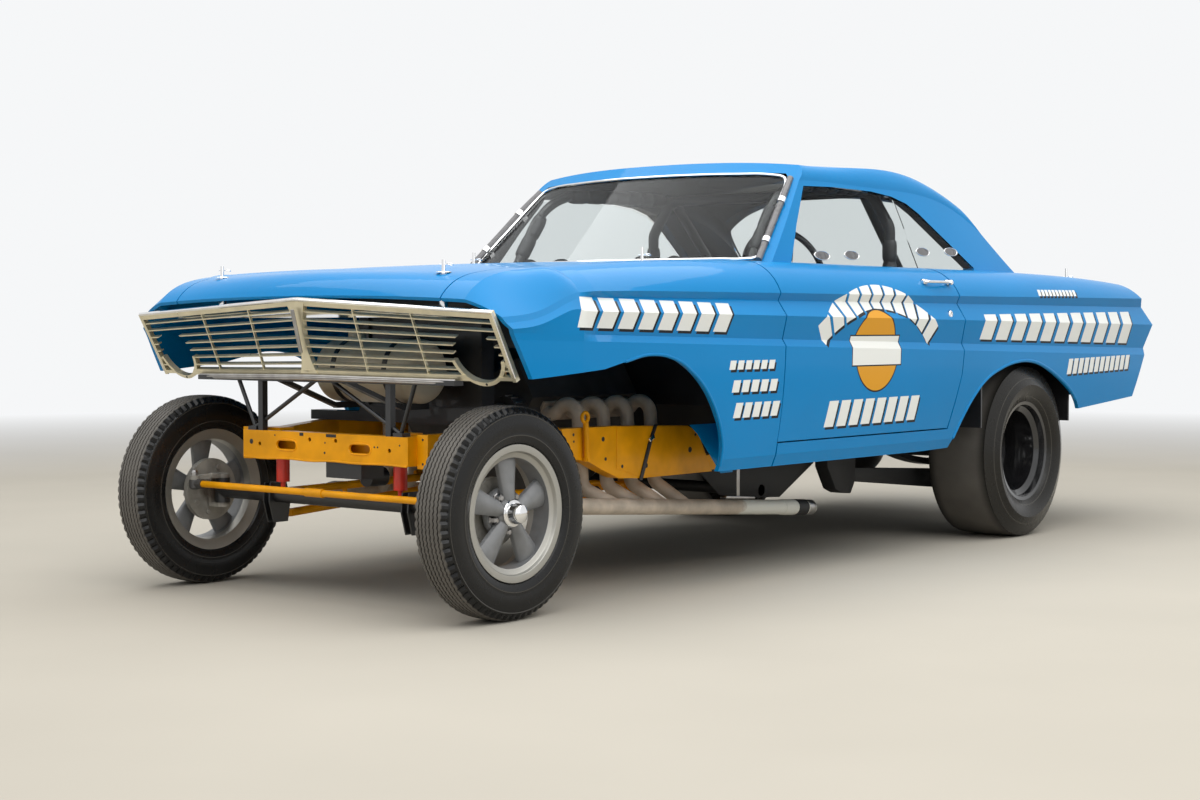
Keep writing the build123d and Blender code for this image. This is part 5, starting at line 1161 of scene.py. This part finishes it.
PADS = [
    # name, size across, deep and high, station and height of its middle, lean, channels
    ("seat_cushion_", (0.226, 0.112, 0.29), (2.02, 0.556), radians(-97.6), 4),
    ("seat_back_", (0.226, 0.062, 0.462), (2.278, 0.866), radians(-8.8), 4),
]
for name, size, (along, height), lean, rows in PADS:
    pad = block_for_pad(name + "left", size)
    longest = stuff(pad)
    sew(pad, rows)
    pad.data.transform(Matrix.Translation((SEAT_X, station(along), height)) @ Matrix.Rotation(lean, 4, "X"))
    pick(pad)
    bpy.ops.object.duplicate(linked=False)
    other = bpy.context.object
    other.name = name + "right"
    other.data.transform(Matrix.Translation((-2 * SEAT_X, 0, 0)))
    for piece in (pad, other):
        settle(piece, "black_vinyl", angle=60)
        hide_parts("seats")
    print(name + "pads have", len(pad.data.polygons), "faces, swelled", round(longest * 1000, 1), "mm")

# %% [markdown]
# A bent tube frame carries each seat: two runners on the floor, two hoops up to the cushion's shell, and two
# uprights behind the back.

# %% Seat frames
RUNNERS = (SEAT_X - 0.092, SEAT_X + 0.092)
HOOP = [(1.89, 0.446), (1.9, 0.5), (2.15, 0.478), (2.232, 0.52), (2.345, 1.04)]
LEG = [(2.17, 0.44), (2.17, 0.485)]
CROSS_BARS = [(1.93, 0.497), (2.12, 0.481), (2.318, 0.93)]
for side_name, side in SIDES.items():
    bars = []
    for x in (side * across for across in RUNNERS):
        bars.append(rod("hoop", at(x, *HOOP), 0.009))
        bars.append(rod("leg", at(x, *LEG), 0.009, straight=True))
        bars.append(solid("runner", (0.028, 0.36, 0.008), (x, station(2.03), 0.4395)))
    for place in CROSS_BARS:
        ends = at(side * RUNNERS[0], place) + at(side * RUNNERS[1], place)
        bars.append(rod("cross", ends, 0.007, straight=True))
    settle(join("seat_frame_" + side_name, bars), "black_paint")
print("two seat frames")

# %% [markdown]
# ## Cage legs and their foam
# A front leg runs from the hoop forward under the roof and down behind the windshield's pillar. Foam sleeves,
# pinched by ties, cover the leg and the hoop where a head could meet them. Each sleeve is one bulged turning
# between two ties, laid along the tube.

# %% Padded bars
BAR_R, FOAM_R, TIE_PITCH = 0.019, 0.029, 0.085
ROOF_BEHIND = 1.43
UNDER_ROOF = [(0.53, 2.395, 0.04), (0.545, 2.0, 0.034), (0.545, 1.79, 0.036)]
DOWN = [(0.56, 1.645, 1.335), (0.565, 1.5, 1.137), (0.585, 1.41, 0.95), (0.59, 1.36, 0.44)]
HALF_SLEEVE = [(0.002, BAR_R), (0.002, FOAM_R - 0.006), (0.008, FOAM_R - 0.002), (0.024, FOAM_R)]
TIE = [(-0.0022, FOAM_R - 0.0075), (-0.0022, FOAM_R - 0.004), (0.0022, FOAM_R - 0.004),
       (0.0022, FOAM_R - 0.0075), (-0.0022, FOAM_R - 0.0075)]


def under_roof(x, along, gap):
    """A point that hangs a gap below the roof's lining, or below its height over the open rear window."""
    hit, point, normal = probe("body_shell", (x, station(along), 1.2), (0, 0, 1))
    return Vector((x, station(along), (point.z if hit else ROOF_BEHIND) - gap))


def foam(start, end):
    """Sleeves along a straight bar, and the ties between them."""
    way = end - start
    count = max(1, round(way.length / TIE_PITCH))
    step = way.length / count
    sleeve = HALF_SLEEVE + [(step - along, radius) for along, radius in HALF_SLEEVE[::-1]] + HALF_SLEEVE[:1]
    sleeves, ties = [], []
    for number in range(count):
        place = start + way * (number / count)
        sleeves.append(lathe("sleeve", sleeve, place, 20, way))
        ties.append(lathe("tie", TIE, place, 20, way))
    return sleeves, ties


for side_name, side in SIDES.items():
    leg = [under_roof(side * across, along, gap) for across, along, gap in UNDER_ROOF]
    leg += [Vector((side * across, station(along), height)) for across, along, height in DOWN]
    tube("cage_leg_" + side_name, leg, BAR_R, "black_paint")
    runs = [(leg[0], leg[1]), (leg[1], leg[2]), (leg[3].lerp(leg[4], 0.12), leg[4].lerp(leg[3], 0.06)),
            at(side * 0.59, (2.41, 0.96), (2.41, 1.22))]
    sleeves, ties = [], []
    for start, end in runs:
        more_sleeves, more_ties = foam(start, end)
        sleeves += more_sleeves
        ties += more_ties
    sleeve_piece = settle(join("cage_foam_" + side_name, sleeves), "black_vinyl", angle=50)
    settle(join("cage_ties_" + side_name, ties), "black_vinyl")
print("cage legs reach the roof at", round(leg[1].z, 3))

# %% [markdown]
# ## Behind the front wheels
# Each knuckle has a backing plate with bolt heads round its hub. The tie rod ends in dark ball joints, whose
# nuts stand on the steering arms, and blue kick panels close the arch behind the rail.

# %% Hub bolts, ball joints and kick panels
BOLT_HEAD = [(-0.001, 0), (-0.001, 0.01), (0.005, 0.01), (0.0062, 0.0085), (0.0062, 0)]
BOLT_TURNS, BOLT_CIRCLE = (0.35, 1.25, 2.25, 3.35, 4.15, 5.45), 0.078
TIE_ROD_Y, TIE_ROD_Z = -2.12, 0.3505
SOCKET = [(-0.0195, 0), (-0.0195, 0.013), (-0.0145, 0.0192), (0.01, 0.0196), (0.0142, 0.018), (0.0145, 0)]
ARM_NUT = [(-0.001, 0), (-0.001, 0.0125), (0.01, 0.0125), (0.012, 0.01), (0.018, 0.008), (0.018, 0)]
KICK_PANEL, KICK_X = [(0.93, 0.547), (1.18, 0.547), (1.18, 0.374), (1.11, 0.374), (0.976, 0.514)], 0.7
for side_name, side in SIDES.items():
    body = "knuckle_" + side_name
    heads = []
    for turn in BOLT_TURNS:
        aim = (side * 0.4, FRONT_AXLE_Y + BOLT_CIRCLE * sin(turn), FRONT_AXLE_Z + BOLT_CIRCLE * cos(turn))
        hit, place, normal = probe(body, aim, (side, 0, 0))
        if hit:
            heads.append(lathe("head", mirrored(BOLT_HEAD, -side), place, 6 if len(heads) % 2 else 20))
    settle(join("knuckle_bolts_" + side_name, heads), "knuckle_grey", body, angle=20)
    inner, end, outer = (Vector((side * x, TIE_ROD_Y, TIE_ROD_Z)) for x in (0.548, 0.588, 0.59))
    hit, arm_top, normal = probe(body, end + Vector((0, 0, 0.3)), (0, 0, -1))
    boot = rod("boot", [inner, outer], 0.0162, straight=True)
    settle(lathe("arm_nut_" + side_name, ARM_NUT, arm_top, 6, (0, 0, 1)), "bare_steel", body, angle=20)
    socket = lathe("socket", SOCKET, end, 24, (0, 0, 1))
    settle(join("ball_joint_" + side_name, [socket, boot]), "cast_grey", "tie_rod", angle=25)
    settle(plate("kick_panel_" + side_name, KICK_PANEL, side * KICK_X, 0.0025), "body_paint")
print("knuckle bolts a side:", len(heads))

# %% [markdown]
# ## Crossmember and lamp rings
# The crossmember is a pressed channel: it gets a closing sheet behind its slots, pressed rims round them, a
# rolled lower lip that has met a few kerbs, and the bolted flanges of the rails at its ends. Each lamp ring
# has a screw hole in its lowest point.

# %% Pressed rims, lip and flanges
CROSS_Y, CROSS_HALF = station(-0.084), 0.38
SLOT_X, SLOT_Z, SLOT_HALF, SLOT_R = 0.17, 0.494, 0.033, 0.0155
LIP = [(-0.376, 0.001), (-0.28, -0.0015), (-0.17, 0.002), (-0.05, -0.001), (0.04, 0.0025), (0.15, 0), (0.27, 0.002),
       (0.376, -0.0005)]
NOTCHES = [(-0.098, 0.018), (0.04, 0.046)]
HOLES = [(-0.34, 0.5, 0.0085), (-0.225, 0.524, 0.003), (0.235, 0.503, 0.003), (0.249, 0.503, 0.003),
         (0.01, 0.476, 0.004), (0.012, 0.508, 0.003), (0.345, 0.512, 0.003), (0.405, 0.53, 0.004),
         (-0.405, 0.53, 0.004), (0.405, 0.455, 0.004), (-0.405, 0.455, 0.004)]
rims = []
for middle in (-SLOT_X, SLOT_X):
    line = []
    for count in range(12):
        turn = 2 * pi * count / 12 + pi / 12
        shift = SLOT_HALF if cos(turn) > 0 else -SLOT_HALF
        line.append(Vector((middle + shift + SLOT_R * cos(turn), CROSS_Y - 0.0004, SLOT_Z + SLOT_R * sin(turn))))
    rims.append(rod("rim", line, 0.0024, closed=True))
rims.append(rod("lip", [Vector((across, CROSS_Y + 0.001, 0.4485 + dent)) for across, dent in LIP], 0.0036))
rims.append(solid("back", (0.744, 0.002, 0.076), (0, station(-0.048), 0.493), edge=0.0005))
for side in SIDES.values():
    rims.append(solid("flange", (0.046, 0.004, 0.106), (side * 0.403, station(-0.0425), 0.492), edge=0.001))
settle(join("crossmember_details", rims), "frame_paint")
# The holes and notches are dark discs and thin dark blocks: painted shade of the openings.
opening_shades = [solid("notch", (width, 0.0012, 0.01), (across, CROSS_Y - 0.0002, 0.5315), edge=0.0004)
         for across, width in NOTCHES]
for across, height, size in HOLES:
    face = CROSS_Y if abs(across) < CROSS_HALF else station(-0.0445)
    opening_shades.append(disc((across, face, height), size, 0.0006, (0, -1, 0)))
settle(join("crossmember_hole_shades", opening_shades), "rubber_seal")
print("crossmember with", len(opening_shades), "holes and notches")

# %% [markdown]
# A lamp's middle is known by X and height on the slanted end of the grille, and the screw hole lies one ring
# radius down that slant. The hole is a small dark disc, painted shade.

# %% Screw holes of the lamp rings
LAMP_X, LAMP_Z, LAMP_R = 0.69, 0.787, 0.092
outward = LAMP_X / GRILLE_ENDS["top"][0]
down = (GRILLE_ENDS["top"][2] - LAMP_Z) / (GRILLE_ENDS["top"][2] - GRILLE_ENDS["low"][2])
top_end, low_end, top_middle, low_middle = (Vector(line[row]) for line in (GRILLE_ENDS, GRILLE_MIDDLE)
                                            for row in ("top", "low"))
way = (low_end - top_end).normalized()
facing = (low_end - low_middle).normalized().cross(way)
facing *= -1 if facing.y > 0 else 1
hole = top_middle.lerp(top_end, outward).lerp(low_middle.lerp(low_end, outward), down)
hole += way * LAMP_R + facing * 0.0085 + Vector((0, FRONT_AXLE_Y, 0))
screw_hole_shades = []
for side in SIDES.values():
    place, axis = to_side((hole, facing), side)
    # A small dark disc in the hole is painted shade.
    screw_hole_shades.append(disc(place, 0.0042, 0.0006, axis))
settle(join("lamp_ring_hole_shades", screw_hole_shades), "rubber_seal")
print("lamp ring hole at", [round(value, 3) for value in hole])

# %% [markdown]
# ## Tail
# The rear isn't in the picture. It gets what such a car has: a bright bezel round each lens, two bright ribs
# across it, and a lock button for the deck lid.

# %% Lamp bezels and deck lock
LENS_X, LENS_HALF, LENS_RISE, CORNER_R = 0.62, 0.097, 0.0235, 0.031
DECK_LOCK = [(-0.002, 0), (-0.002, 0.0185), (0.003, 0.0185), (0.006, 0.015), (0.0065, 0.011), (0.004, 0.01),
             (0.004, 0)]


def tail_panel(x):
    """The middle of the tail panel at an X, the way up it and the way out of it."""
    low, high = (probe("body_shell", (x, 4, z), (0, -1, 0))[1] for z in (0.95, 1.01))
    upward = (high - low).normalized()
    return low.lerp(high, 0.5), upward, Vector((0, upward.z, -upward.y))


for side_name, side in SIDES.items():
    middle, upward, facing = tail_panel(side * LENS_X)
    outline = []
    for corner_x, corner_s in ((1, 1), (-1, 1), (-1, -1), (1, -1)):
        start = atan2(corner_s, corner_x) - pi / 4
        for turn in (start + pi / 6 * count for count in range(4)):
            outline.append(middle + Vector((corner_x * LENS_HALF + CORNER_R * cos(turn), 0, 0))
                           + upward * (corner_s * LENS_RISE + CORNER_R * sin(turn)) + facing * 0.005)
    bright = [rod("bezel", outline, 0.0062, closed=True)]
    for across in (-0.04, 0.04):
        ends = [middle + Vector((across, 0, 0)) + upward * reach + facing * 0.02 for reach in (-0.044, 0.044)]
        bright.append(rod("rib", ends, 0.003, straight=True))
    settle(join("tail_lamp_bezel_" + side_name, bright), "pin_chrome")
place, upward, facing = tail_panel(0)
settle(lathe("deck_lock", DECK_LOCK, place, 28, facing), "pin_chrome")
print("tail panel leans", round(upward.y / upward.z, 3), "lens middle", [round(value, 3) for value in middle])

# %% [markdown]
# ## Under the floor
# Between the rocker and the collector shows a dark tangle: a bar under each leaf spring that keeps the axle from
# winding up, the bracket that takes its front end, and a gusset where each rail ends, with a crossmember between
# them. They are flat plates, all a dull black.

# %% Traction bars, brackets, gussets and crossmember
TRACTION_BAR = [(2.27, 0.264), (2.98, 0.194), (3.175, 0.205), (3.175, 0.262), (2.27, 0.318)]
BAR_BRACKET = [(2.082, 0.422), (2.09, 0.33), (2.15, 0.24), (2.2, 0.222), (2.262, 0.217), (2.292, 0.262),
               (2.3, 0.422)]
RAIL_GUSSET = [(1.3, 0.372), (1.45, 0.262), (1.7, 0.236), (1.842, 0.228), (2.078, 0.345), (2.078, 0.42),
               (1.66, 0.42), (1.64, 0.372)]
BAR_X, BAR_WIDTH, GUSSET_X = 0.48, 0.046, 0.452
UNDER_PLATES = [
    # name, outline, X of the outer face, thickness, rounding
    ("traction_bar_", TRACTION_BAR, BAR_X + BAR_WIDTH / 2, BAR_WIDTH, 0.003),
    ("bar_bracket_", BAR_BRACKET, BAR_X + 0.03, 0.06, 0.004),
    ("rail_gusset_", RAIL_GUSSET, GUSSET_X, 0.004, 0.0008),
]
for side_name, side in SIDES.items():
    for name, outline, x, thick, edge in UNDER_PLATES:
        settle(plate(name + side_name, outline, side * x, thick, edge), "rubber_seal")
cross_line = at(-GUSSET_X, (1.72, 0.262)) + at(GUSSET_X, (1.72, 0.262))
tube("transmission_crossmember", cross_line, 0.022, "rubber_seal", straight=True, sides=6)
print("underside dressed from Y", round(station(1.3), 3), "to", round(station(3.175), 3))

# %% [markdown]
# ## The studio
# A pale floor, a wide lamp overhead, two softer ones from the camera's side and an even sky. The background is
# a near-white wall of light that is seen directly, in reflections and through glass, but lights nothing.

# %% Floor, world and lamps
bpy.ops.object.select_all(action="DESELECT")
bpy.ops.mesh.primitive_plane_add(size=60, location=(0, 0, 0))
floor = bpy.context.object
floor.name = "floor"
BACKDROP = (0.92, 0.93, 0.94, 1)
concrete = Finish("floor_finish", (0.47, 0.435, 0.37), 0.5, Specular_IOR_Level=0.0, Emission_Strength=1.0)
concrete.wear(0.8, 0.03, 0.1)
rays = concrete.tree.nodes.new("ShaderNodeLightPath")
camera_ray, glossy_ray, glass_ray = (Wire(concrete, rays.outputs[f"Is {kind} Ray"])
                                     for kind in ("Camera", "Glossy", "Transmission"))
viewed = camera_ray.high(glossy_ray).high(glass_ray)
away = off_axle(concrete.x, concrete.y).ramp(5.0, 13.0)
concrete.color = concrete.mix(away, concrete.color, (0, 0, 0, 1))
concrete.feed(concrete.shader.inputs["Emission Color"], concrete.mix(away * viewed, (0, 0, 0, 1), BACKDROP))
floor.data.materials.append(concrete.done())

world = bpy.data.worlds.new("sky")
bpy.context.scene.world = world
world.use_nodes = True
sky_tree = world.node_tree
sky = sky_tree.nodes["Background"]
sky.inputs["Color"].default_value = (0.86, 0.9, 0.95, 1)
sky.inputs["Strength"].default_value = 0.42
backdrop = sky_tree.nodes.new("ShaderNodeBackground")
backdrop.inputs["Color"].default_value = BACKDROP
rays = sky_tree.nodes.new("ShaderNodeLightPath")
seen = rays.outputs["Is Camera Ray"]
for ray in ("Is Transmission Ray", "Is Glossy Ray"):
    either = sky_tree.nodes.new("ShaderNodeMath")
    either.operation = "MAXIMUM"
    sky_tree.links.new(seen, either.inputs[0])
    sky_tree.links.new(rays.outputs[ray], either.inputs[1])
    seen = either.outputs[0]
shown = sky_tree.nodes.new("ShaderNodeMixShader")
for source, socket in ((seen, 0), (sky.outputs[0], 1), (backdrop.outputs[0], 2)):
    sky_tree.links.new(source, shown.inputs[socket])
sky_tree.links.new(shown.outputs[0], sky_tree.nodes["World Output"].inputs["Surface"])


def lamp(name, place, target, size, power):
    """A rectangular lamp that shines at a target."""
    light = bpy.data.lights.new(name, "AREA")
    light.shape = "RECTANGLE"
    light.size, light.size_y = size
    light.energy = power
    holder = bpy.data.objects.new(name, light)
    bpy.context.scene.collection.objects.link(holder)
    holder.location = place
    holder.rotation_euler = (Vector(target) - Vector(place)).to_track_quat("-Z", "Y").to_euler()


lamp("ceiling_lamp", (1.0, -0.5, 6.0), (0, 0, 0.5), (12, 14), 1060)
lamp("side_lamp", (9.0, -3.0, 3.5), (0, 0, 0.7), (8, 5), 95)
lamp("nose_lamp", (-3.5, -9.0, 5.0), (0, -1, 0.7), (8, 5), 130)
print("floor, sky and three lamps")
